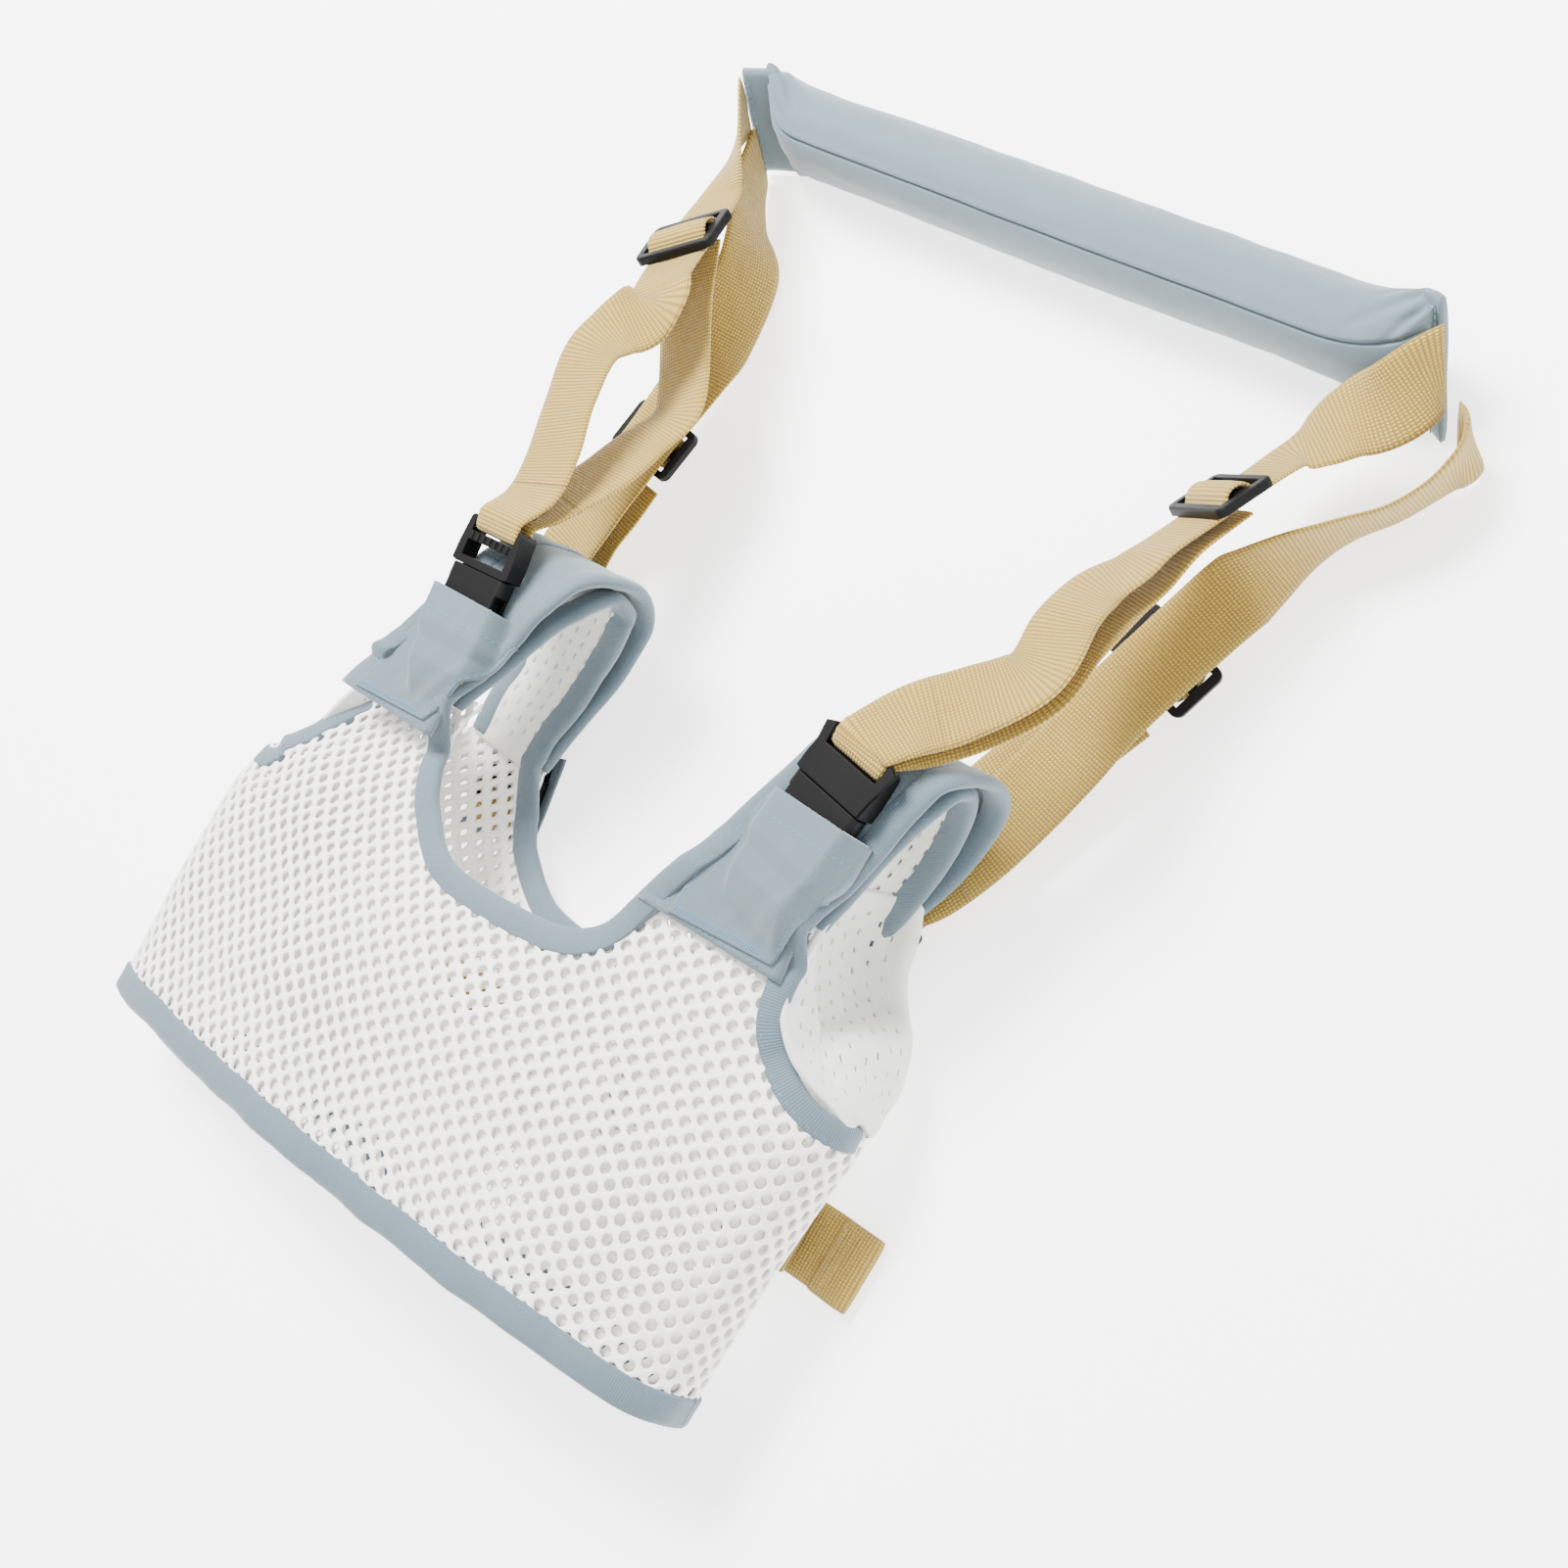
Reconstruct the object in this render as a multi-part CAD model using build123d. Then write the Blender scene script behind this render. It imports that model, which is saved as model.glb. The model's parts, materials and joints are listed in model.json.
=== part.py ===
from build123d import *
import os

# Toddler walking harness, lying on its back with the handle laid out above the shoulders.
# Millimetres. +X to the wearer's left, +Y from the hem to the handle, +Z up through the chest.

# ---- driving dimensions ------------------------------------------------------------------
CENTRE_X, CENTRE_Y = -3, -2        # middle of the layout, moved to the origin at export
WEB_W, WEB_T = 25, 1.6             # lifting strap webbing
GATHER_W = 20                      # the webbing is gathered to this at a buckle's bar
SKIN = 3                           # spacer mesh
TAPE_W, TAPE_T = 9, 4.4            # binding tape
STRAP_W, STRAP_T = 40, 2.4         # shoulder strap
HEM_Y, YOKE_Y = -203, -66          # hem and the line where the yokes start
SIDE_Z = 29                        # height of the side folds
CHEST_Z, BACK_Z = 65, 12           # height of the chest and of the back panel
BUCKLE_W, BUCKLE_T = 28, 7         # side-release buckle
SOCKET_L, PLUG_L = 26, 17
SLIDER_W, SLIDER_L, SLIDER_T = 33, 20, 3
GRIP_Y, GRIP_Z = 185, 21           # middle of the padded handle
GAP = 0.3                          # clearance between pieces that move apart

nodes = {}


def unit(v):
    return Vector(*v).normalized()


def ribbon(stations, width=WEB_W, thick=WEB_T):
    """Flat band through stations of (centre, direction across the band)."""
    centres = [Vector(*c) for c, _ in stations]
    sections = []
    for i, (_, across) in enumerate(stations):
        along = centres[min(i + 1, len(centres) - 1)] - centres[max(i - 1, 0)]
        along = along.normalized()
        wide = Vector(*across)
        wide = (wide - along * wide.dot(along)).normalized()
        half_w = wide * (width / 2)
        half_t = along.cross(wide) * (thick / 2)
        c = centres[i]
        corners = [c - half_w - half_t, c + half_w - half_t, c + half_w + half_t, c - half_w + half_t]
        sections.append(make_face(Polyline(*corners, close=True)))
    return loft(sections, ruled=True)


def frame_at(origin, across, along):
    """Local frame: X across, Y along, Z out of the face."""
    y = unit(along)
    x = Vector(*across)
    x = (x - y * x.dot(y)).normalized()
    return Plane(origin=origin, x_dir=x, z_dir=x.cross(y)).location


# ---- vest --------------------------------------------------------------------------------
def body_profile(centre_x, half, top_z, thick, y, side):
    """Half of the flattened tube seen from the hem: side 1 is the chest, side -1 the back."""
    run = 62 if side > 0 else 34

    def line(inset):
        h = half - inset
        t = top_z - side * inset
        left, right = (centre_x - h, SIDE_Z), (centre_x + h, SIDE_Z)
        shoulder_l = (centre_x - h + run, t)
        shoulder_r = (centre_x + h - run, t)
        bulge_l = (centre_x - h + 0.22 * run, SIDE_Z + 0.66 * (t - SIDE_Z))
        bulge_r = (centre_x + h - 0.22 * run, SIDE_Z + 0.66 * (t - SIDE_Z))
        return [ThreePointArc(left, bulge_l, shoulder_l), Line(shoulder_l, shoulder_r),
                ThreePointArc(shoulder_r, bulge_r, right)]

    outer, inner = line(0), line(thick)
    ends = [Line(outer[0] @ 0, inner[0] @ 0), Line(outer[2] @ 1, inner[2] @ 1)]
    flat = make_face(Wire(outer + inner + ends))
    return Plane(origin=(0, y, 0), x_dir=(1, 0, 0), z_dir=(0, -1, 0)) * flat


def body_shell(top_z, thick, side):
    """The vest narrows and leans a little from the hem to the shoulders."""
    hem = body_profile(-33, 143, top_z, thick, HEM_Y, side)
    top = body_profile(-15, 130, top_z, thick, -40, side)
    return loft([hem, top], ruled=True)


def upright(sketch):
    return extrude(Plane.XY.offset(-20) * sketch, 160)


def oval(x, y, rx, ry, grow=0.0):
    return upright(Pos(x, y) * Ellipse(rx + grow, ry + grow))


def slab(y0, y1):
    return Pos(0, (y0 + y1) / 2, 60) * Box(500, y1 - y0, 160)


# Openings cut in each panel: (x, y, half width, half height) of an oval.
FRONT_CUTS = {
    "neck": (-22, -62, 61, 38),
    "armhole_left": (-150, -58, 33, 34),
    "armhole_right": (116, -68, 38, 33),
}
BACK_CUTS = {
    "neck": (-24, -58, 46, 36),
    "armhole_left": (-150, -52, 36, 38),
    "armhole_right": (118, -58, 38, 42),
}


def panel(top_z, side, cuts, top_y):
    """Mesh panel, cut back by a tape's width wherever a binding runs."""
    body = body_shell(top_z, SKIN, side) & slab(HEM_Y + TAPE_W + 1, top_y)
    for cut in cuts.values():
        body = body - oval(*cut, grow=TAPE_W)
    return body


def tape(top_z, side, cut, top_y):
    """Binding round one opening of a panel."""
    ring = oval(*cut, grow=TAPE_W) - oval(*cut)
    skin = body_shell(top_z + side * 0.7, TAPE_T, side)
    return skin & ring & slab(HEM_Y + TAPE_W + 1, top_y)


BACK_TOP_Y = -46
nodes["front_panel"] = panel(CHEST_Z, 1, FRONT_CUTS, YOKE_Y)
nodes["back_panel"] = panel(BACK_Z, -1, BACK_CUTS, BACK_TOP_Y)
hem_band = slab(HEM_Y, HEM_Y + TAPE_W + 1)
nodes["hem_binding_front"] = body_shell(CHEST_Z + 0.7, TAPE_T, 1) & hem_band
nodes["hem_binding_back"] = body_shell(BACK_Z - 0.7, TAPE_T, -1) & hem_band
nodes["neck_binding_front"] = tape(CHEST_Z, 1, FRONT_CUTS["neck"], YOKE_Y)
nodes["neck_binding_back"] = tape(BACK_Z, -1, BACK_CUTS["neck"], BACK_TOP_Y)
nodes["armhole_binding_left"] = tape(CHEST_Z, 1, FRONT_CUTS["armhole_left"], YOKE_Y)
nodes["armhole_binding_right"] = tape(CHEST_Z, 1, FRONT_CUTS["armhole_right"], YOKE_Y)

# ---- shoulders ---------------------------------------------------------------------------
# Each shoulder strap runs up from the chest, folds over at the crest and comes down to the back.
LOOP = {
    "right": [(58, -70, 64.5), (67, -43, 67), (75, -19, 69.5), (80, -5, 70.5), (84, 7, 66), (88, 12, 53),
              (87, 12, 40), (83, 3, 28), (76, -12, 20), (68, -28, 16), (60, -50, 14)],
    "left": [(-101, -70, 64.5), (-89, -43, 67), (-79, -19, 69.5), (-74, -5, 70.5), (-68, 7, 66), (-63, 12, 53),
             (-64, 12, 40), (-68, 3, 28), (-74, -12, 20), (-80, -28, 16), (-86, -50, 14)],
}
ACROSS = {"right": (1, 0, -0.1), "left": (1, 0, 0.1)}
POCKET_TOP_Y = {"right": -21, "left": -16}
YOKE_TOP_Y = -25                   # the yoke's own seam, under the pocket
PAD_INSET = 9                      # the pad folds inside the strap, this far in
POCKET = [(-70, 67.2), (-60, 69.9), (-48, 77.9), (-33, 78.8), (-10, 81)]


def block(y0, y1, z0, z1):
    return Pos(0, (y0 + y1) / 2, (z0 + z1) / 2) * Box(500, y1 - y0, z1 - z0)


def inset_loop(points):
    """The same fold, moved towards the inside of the loop."""
    middle_y, middle_z = -30, 43
    out = []
    for x, y, z in points:
        toward = Vector(0, middle_y - y, middle_z - z).normalized() * PAD_INSET
        out.append((x, y + toward.Y, z + toward.Z))
    return out


def across_x(loop, y):
    """Middle of a shoulder strap's chest side at a height y."""
    for (x0, y0, _), (x1, y1, _) in zip(loop, loop[1:]):
        if y0 <= y <= y1:
            return x0 + (x1 - x0) * (y - y0) / (y1 - y0)
    return loop[0][0]


for hand, loop in LOOP.items():
    side = ACROSS[hand]
    strap = ribbon([(p, side) for p in loop], STRAP_W, STRAP_T)
    nodes[f"front_yoke_{hand}"] = strap & block(YOKE_Y, YOKE_TOP_Y, 55, 90)
    strap = strap - block(-80, YOKE_TOP_Y, 55, 90)
    nodes[f"shoulder_shell_{hand}"] = strap - block(-80, BACK_TOP_Y, 0, 40)
    pad_line = inset_loop(loop[1:-1])
    nodes[f"shoulder_pad_{hand}"] = ribbon([(p, side) for p in pad_line], STRAP_W - 2, 3.5)
    cover = ribbon([((across_x(loop, y), y, z), side) for y, z in POCKET], STRAP_W - 2, 1.6)
    nodes[f"buckle_pocket_{hand}"] = cover & block(YOKE_Y, POCKET_TOP_Y[hand], 55, 95)

# The smooth lining stands up along the back edge of each armhole.
LINING = {
    "right": [((108, -97, 34), (0.3, -0.3, 1)), ((108, -82, 26), (0.5, -0.2, 1)),
              ((101, -62, 24), (0.4, 0.1, 1)), ((97, -42, 27), (0.3, 0.1, 1))],
    "left": [((-142, -86, 34), (-0.3, -0.3, 1)), ((-136, -72, 28), (-0.5, -0.2, 1)),
             ((-128, -56, 26), (-0.4, 0.1, 1)), ((-120, -40, 28), (-0.3, 0.1, 1))],
}
for hand, stations in LINING.items():
    nodes[f"armhole_lining_{hand}"] = ribbon(stations, 16, 2.5)


# ---- side-release buckles ----------------------------------------------------------------
def socket():
    """Female half. The mouth is at y = 0 and the webbing bar at the far end."""
    body = Pos(0, -SOCKET_L / 2, 0) * Box(BUCKLE_W - 1, SOCKET_L, BUCKLE_T)
    body = fillet(body.edges().filter_by(Axis.Y), 2.6)
    channel = Pos(0, -8.5, 0) * Box(22, 17.2, 4.4)
    window = Pos(0, -10, 0) * Box(BUCKLE_W + 2, 9, 4.4)
    slot = Pos(0, -SOCKET_L + 6.2, 0) * Box(21.5, 3.6, BUCKLE_T + 2)
    thin_bar = Pos(0, -SOCKET_L + 2.2, 0) * (Box(21.5, 5, BUCKLE_T + 2) - Box(21.5, 5, 3.2))
    waist = Pos(0, -10, 0) * (Box(BUCKLE_W + 2, 10, BUCKLE_T + 2) - Box(BUCKLE_W - 4, 10, BUCKLE_T + 2))
    return body - channel - window - slot - thin_bar - waist


def plug(plain):
    """Male half: side arms, a ribbed bar, an outer bar for the webbing, two prongs and a guide.

    The plain face hides the bar behind a plate with two flared ears."""
    left = [(-12, GAP), (-14, 0.8), (-14, 6), (-13, PLUG_L)]
    right = [(-x, y) for x, y in reversed(left)]
    outline = Polyline(*left, *right, close=True)
    head = extrude(Plane.XY.offset(-3.4) * make_face(outline), 6.8)
    head = fillet(head.edges().filter_by(Axis.Z).sort_by(Axis.Y)[-2:], 2)
    window = Pos(0, 5.75, 0) * Box(21, 5.5, 10)
    slot = Pos(0, 12.75, 0) * Box(21, 2.5, 10)
    thin_bar = Pos(0, 15.6, 0) * (Box(21, 3.4, 10) - Box(21, 3.4, 3.6))
    solid = head - window - slot - thin_bar
    if plain:
        cover = Polyline((-12, 0.6), (-12.5, 6), (-14.5, PLUG_L), (-11.2, PLUG_L + 1.6), (-10.4, 11.6),
                         (10.4, 11.6), (11.2, PLUG_L + 1.6), (14.5, PLUG_L), (12.5, 6), (12, 0.6), close=True)
        solid = solid + extrude(Plane.XY.offset(2.2) * make_face(cover), 1.8)
    else:
        for x in range(-9, 10, 3):
            solid = solid + Pos(x, 10, 3.5) * Box(1, 2.4, 0.8)
    solid = solid + Pos(0, -5.5, 0) * Box(4, 12.4, 3.6)
    for side in (-1, 1):
        prong = Pos(side * 8.2, -6, 0) * Box(3, 13.4, 3.6)
        catch = Pos(side * 10, -9.8, 0) * Box(1.2, 5, 3.6)
        solid = solid + prong + catch
    return solid


def anchor_webbing():
    """Sewn loop that holds a socket: round its bar and back into the seam."""
    outer = Pos(0, -26.5, 0) * Box(GATHER_W, 13.2, 6.6)
    inner = Pos(0, -26.6, 0) * Box(GATHER_W + 2, 10.6, 3.8)
    return outer - inner


def plug_webbing():
    """Loop of lifting webbing round a plug's outer bar, open towards the strap."""
    outer = Pos(0, 18, 0) * Box(GATHER_W, 12, 7)
    inner = Pos(0, 19.4, 0) * Box(GATHER_W + 2, 12, 4.2)
    return outer - inner


# name: (middle of the mouth, across, outward pull)
BUCKLES = {
    "front_left": ((-82.5, -7, 76), (1, 0.05, 0.1), (-0.05, 0.99, 0.1)),
    "front_right": ((76, -14, 75.4), (0.98, -0.2, -0.1), (0.2, 0.97, 0.1)),
    "back_left": ((-89, -47, 5), (0.98, 0.2, 0), (-0.2, 0.98, 0)),
    "back_right": ((68.5, -50.5, 5), (0.954, -0.3, 0), (0.3, 0.954, 0)),
}
BELT_Y, BELT_Z = -137, 3.5
BELT_MOUTH_X = -4

anchors = []
for name, place in BUCKLES.items():
    at = frame_at(*place)
    nodes[f"buckle_socket_{name}"] = at * socket()
    nodes[f"buckle_plug_{name}"] = at * plug(plain=name == "front_right")
    nodes[f"plug_webbing_{name}"] = at * plug_webbing()
    anchors.append(at * anchor_webbing())
nodes["anchor_webbing"] = anchors[0] + anchors[1:]

# A pocket of twill holds each back socket against the back.
for hand in ("left", "right"):
    at = frame_at(*BUCKLES[f"back_{hand}"])
    nodes[f"back_pocket_{hand}"] = at * (Pos(0, -22, -4.4) * Box(36, 34, 1.2))

# ---- waist belt --------------------------------------------------------------------------
belt_at = frame_at((BELT_MOUTH_X, BELT_Y, BELT_Z), (0, -1, 0), (1, 0, 0))
nodes["belt_socket"] = belt_at * socket()
nodes["belt_plug"] = belt_at * plug(plain=False)
sewn_left = Pos(-71, BELT_Y, BELT_Z) * Box(68, GATHER_W, WEB_T)
nodes["belt_webbing_left"] = sewn_left + belt_at * anchor_webbing()
nodes["belt_webbing_right"] = Pos(72, BELT_Y, 7.4) * Box(64, WEB_W, WEB_T)
TAIL_END_X, FOLD_L = 118, 9
tail_run = TAIL_END_X - 18
tail = Pos(18 + tail_run / 2, BELT_Y, WEB_T / 2) * Box(tail_run, WEB_W, WEB_T)
nodes["belt_tail"] = belt_at * plug_webbing() + tail
nodes["belt_tail_fold"] = Pos(TAIL_END_X + FOLD_L / 2, BELT_Y, 2.2) * Box(FOLD_L, WEB_W, 4.4)

# ---- lifting straps ----------------------------------------------------------------------
# name: (middle of the slider, along the strap towards the vest, across, side the slider sits on)
SLIDERS = {
    "front_left": ((-103, 126, 47), (0.35, -0.8, 0.49), (0.9, 0.38, 0.2)),
    "front_right": ((121, 118, 40), (-0.25, -0.88, 0.41), (0.81, 0.07, 0.58)),
    "back_left": ((-96, 64, 21), (-0.15, -0.98, 0.05), (-0.98, 0.1, -0.1)),
    "back_right": ((118, 72, 17), (-0.33, -0.94, 0), (-0.9, 0.32, 0.2)),
}
STRAIGHT = 20                      # the strap is straight this far each side of a slider

# Stations from the handle to the slider, then from the slider towards the vest.
ABOVE = {
    "front_left": [((-118.4, 181, 37), (0.1, 0.35, 0.93)), ((-115, 165, 38), (0.55, 0.25, 0.8)),
                   ((-112, 150, 38), (0.8, 0.38, 0.45))],
    "front_right": [((157.5, 186, 33), (0.03, -0.62, -0.78)), ((149, 167, 32), (0.77, -0.39, -0.5)),
                    ((139, 156, 32), (0.92, -0.3, 0.1)), ((131, 144, 32), (0.93, 0, 0.35))],
    "back_left": [((-121, 171, 14), (-0.1, -0.3, -0.95)), ((-119, 161, 14), (-0.16, 0.1, -0.98)),
                  ((-112, 150, 14), (-0.2, 0.27, -0.93)), ((-101, 133, 14), (0.38, 0.3, -0.85)),
                  ((-96, 108, 16), (0.7, 0.1, -0.6)), ((-93, 92, 18), (0.95, -0.05, -0.1))],
    "back_right": [((162, 171, 11.6), (-0.05, -0.4, -0.9)), ((166, 171, 12.4), (-0.1, -0.2, -0.97)),
                   ((169.5, 167, 13), (0, 0, -1)), ((169, 159, 15), (-0.1, 0.1, -0.99)),
                   ((165, 150, 15), (-0.2, 0.1, -0.97)), ((158, 140, 15), (-0.2, 0.1, -0.97)),
                   ((148, 130, 16), (-0.1, 0.1, -0.98)), ((139, 118, 17), (0.2, 0.1, -0.95)),
                   ((132, 106, 17), (0.6, 0, -0.8)), ((127, 97, 17), (0.85, -0.2, -0.45))],
}
BELOW = {
    "front_left": [((-90, 104, 59), (0.85, 0.45, 0.2)), ((-92, 96, 61), (0.85, 0.3, -0.3)),
                   ((-97, 86, 63), (0.95, 0.1, -0.1)), ((-100, 75, 66), (0.98, 0.1, 0.1)),
                   ((-94, 56, 68), (0.93, 0.3, 0.2))],
    "front_right": [((112, 88, 51), (0.87, 0.03, 0.5)), ((107, 76, 55), (0.93, 0.15, 0.3)),
                    ((106, 64, 59), (0.95, 0.2, 0.25)), ((107, 55, 62), (0.95, 0.05, 0.25))],
    "back_left": [((-101, 32, 20), (0.98, -0.1, 0.1))],
    "back_right": [((105, 32, 15), (0.9, -0.35, -0.25))],
}
RETURN = {
    "front_left": [((-102.5, 125, 44), (0.9, 0.38, 0.2)), ((-97, 113, 42), (0.9, 0.36, 0.25)),
                   ((-90, 101, 42), (0.9, 0.34, 0.28)), ((-79, 83, 41), (0.9, 0.34, 0.28)),
                   ((-74, 71, 42), (0.93, 0.1, 0.3)), ((-77, 57, 47), (0.93, -0.2, 0.3))],
    "front_right": [((122.5, 116.5, 37), (0.81, 0.07, 0.58)), ((118.5, 100.5, 43.5), (0.81, 0.07, 0.58)),
                    ((115, 86, 46), (0.87, 0.03, 0.5)), ((111, 73, 50), (0.93, 0.15, 0.3)),
                    ((109, 58, 56), (0.95, 0.1, 0.25))],
    "back_left": [((-99, 43, 15), (0.98, -0.1, 0.1)), ((-102, 30, 13), (0.98, -0.1, 0.1))],
    "back_right": [((110, 50, 10), (0.95, -0.3, -0.1)), ((100, 34, 8), (0.93, -0.33, -0.1))],
}


def slider_frame():
    """Tri-glide: a rounded frame with two slots and a middle bar, lying on the strap's face."""
    body = Box(SLIDER_W, SLIDER_L, SLIDER_T)
    body = fillet(body.edges().filter_by(Axis.Z), 3)
    body = fillet(body.edges().group_by(Axis.Z)[-1], 0.8)
    for side in (-1, 1):
        body = body - Pos(0, side * 4.6, 0) * Box(WEB_W + 1.6, 5.6, SLIDER_T + 2)
    return Pos(0, 0, WEB_T / 2 + GAP + SLIDER_T / 2) * body


def slider_webbing():
    """The strap's hump over the middle bar, down through both slots."""
    low, high = WEB_T / 2 + GAP, WEB_T / 2 + GAP + SLIDER_T + 0.4
    ear = 5.2
    face = make_face(Polyline((-ear + 1.5, low), (-2.4, high), (2.4, high), (ear - 1.5, low), (ear, low),
                              (3.6, high + 1.5), (-3.6, high + 1.5), (-ear, low), close=True))
    profile = Plane(origin=(-WEB_W / 2, 0, 0), x_dir=(0, 1, 0), z_dir=(1, 0, 0)) * face
    return extrude(profile, WEB_W)


for name, (middle, along, across) in SLIDERS.items():
    m, a = Vector(*middle), unit(along)
    side = unit(across)
    start, end = m - a * STRAIGHT, m + a * STRAIGHT
    flat_across = side if name.startswith("front") else side * -1
    straight = [(tuple(start), tuple(flat_across)), (tuple(end), tuple(flat_across))]
    nodes[f"lift_strap_{name}"] = ribbon(ABOVE[name] + straight + BELOW[name])
    nodes[f"return_strap_{name}"] = ribbon(RETURN[name])
    at = frame_at(middle, across, tuple(a * -1))
    nodes[f"slider_{name}"] = at * slider_frame()
    nodes[f"slider_webbing_{name}"] = at * slider_webbing()

# ---- handle ------------------------------------------------------------------------------
# Stations along the bar: (x, depth in y, height in z).
GRIP = [
    (-110, 8, 43), (-105, 19, 41), (-96, 26, 38), (-80, 27, 36), (14, 28, 36),
    (120, 27, 36), (134, 26, 38), (142, 18, 42), (146, 8, 45),
]


def grip(inset):
    faces = []
    for x, deep, tall in GRIP:
        section = RectangleRounded(deep - inset, tall - inset, 0.42 * (deep - inset))
        faces.append(Plane(origin=(x, GRIP_Y, GRIP_Z), x_dir=(0, 1, 0), z_dir=(1, 0, 0)) * section)
    return loft(faces, ruled=True)


nodes["handle_core"] = grip(3)
nodes["handle_cover"] = grip(0) - nodes["handle_core"]
FLAP_T = 2.4
left_lean, right_lean = (0, 0.38, 0.92), (0, 0.61, 0.79)
nodes["handle_flap_left"] = ribbon([((-110.2, 181, 25), left_lean), ((-117, 181, 25), left_lean)], 46, FLAP_T)
nodes["handle_flap_right"] = ribbon([((146.2, 182, 23), right_lean), ((155.5, 182, 23), right_lean)], 50, FLAP_T)

# ---- write one STEP per node -------------------------------------------------------------
os.makedirs("parts", exist_ok=True)
for name, shape in nodes.items():
    placed = Pos(-CENTRE_X, -CENTRE_Y, 0) * shape
    export_step(placed, f"parts/{name}.step")
print(len(nodes), "nodes")
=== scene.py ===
import json
import math

import bmesh
import bpy
import numpy as np
from mathutils.bvhtree import BVHTree
from mathutils import Matrix, Vector, noise


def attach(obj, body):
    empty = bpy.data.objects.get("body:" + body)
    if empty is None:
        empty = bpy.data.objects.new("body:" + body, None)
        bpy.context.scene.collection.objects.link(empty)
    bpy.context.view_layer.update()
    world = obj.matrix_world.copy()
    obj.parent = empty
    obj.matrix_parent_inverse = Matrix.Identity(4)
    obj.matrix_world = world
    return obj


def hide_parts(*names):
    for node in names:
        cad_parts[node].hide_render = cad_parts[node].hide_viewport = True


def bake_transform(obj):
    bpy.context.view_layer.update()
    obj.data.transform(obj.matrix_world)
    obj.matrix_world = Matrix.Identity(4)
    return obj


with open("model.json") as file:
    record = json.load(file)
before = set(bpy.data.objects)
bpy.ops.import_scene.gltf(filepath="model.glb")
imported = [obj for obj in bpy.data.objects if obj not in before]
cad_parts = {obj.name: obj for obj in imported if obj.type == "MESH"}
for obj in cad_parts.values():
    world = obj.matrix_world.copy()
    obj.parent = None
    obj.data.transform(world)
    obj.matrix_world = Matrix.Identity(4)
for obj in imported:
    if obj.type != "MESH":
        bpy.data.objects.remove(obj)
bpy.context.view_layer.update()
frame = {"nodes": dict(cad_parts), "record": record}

# From the layout's origin, which the part's source uses, to the row frame's, in millimetres.
SHIFT = np.array([3.0, 2.0, 0.0])


def row(points):
    """Layout millimetres as rows of metres in the row frame."""
    return (np.asarray(points, float).reshape(-1, 3) + SHIFT) * 0.001


# ---- camera ------------------------------------------------------------------------------
VIEW_BACK = Vector((0.5446, 0.0, 0.8387))
VIEW_UP = Vector((-0.4168, 0.867, 0.2707))
VIEW_TARGET = Vector((0.035, -0.018, 0.038))
VIEW_DISTANCE = 0.765
LENS_MM, SENSOR_MM = 55.9, 36


def make_camera():
    right = VIEW_UP.cross(VIEW_BACK).normalized()
    up = VIEW_BACK.cross(right)
    place = Matrix((right, up, VIEW_BACK)).transposed().to_4x4()
    place.translation = VIEW_TARGET + Vector(SHIFT) * 0.001 + VIEW_BACK * VIEW_DISTANCE
    data = bpy.data.cameras.new("camera")
    data.lens = LENS_MM
    data.sensor_width = SENSOR_MM
    data.clip_start = 0.01
    camera = bpy.data.objects.new("camera", data)
    camera.matrix_world = place
    bpy.context.scene.collection.objects.link(camera)
    bpy.context.scene.camera = camera


make_camera()


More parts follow.
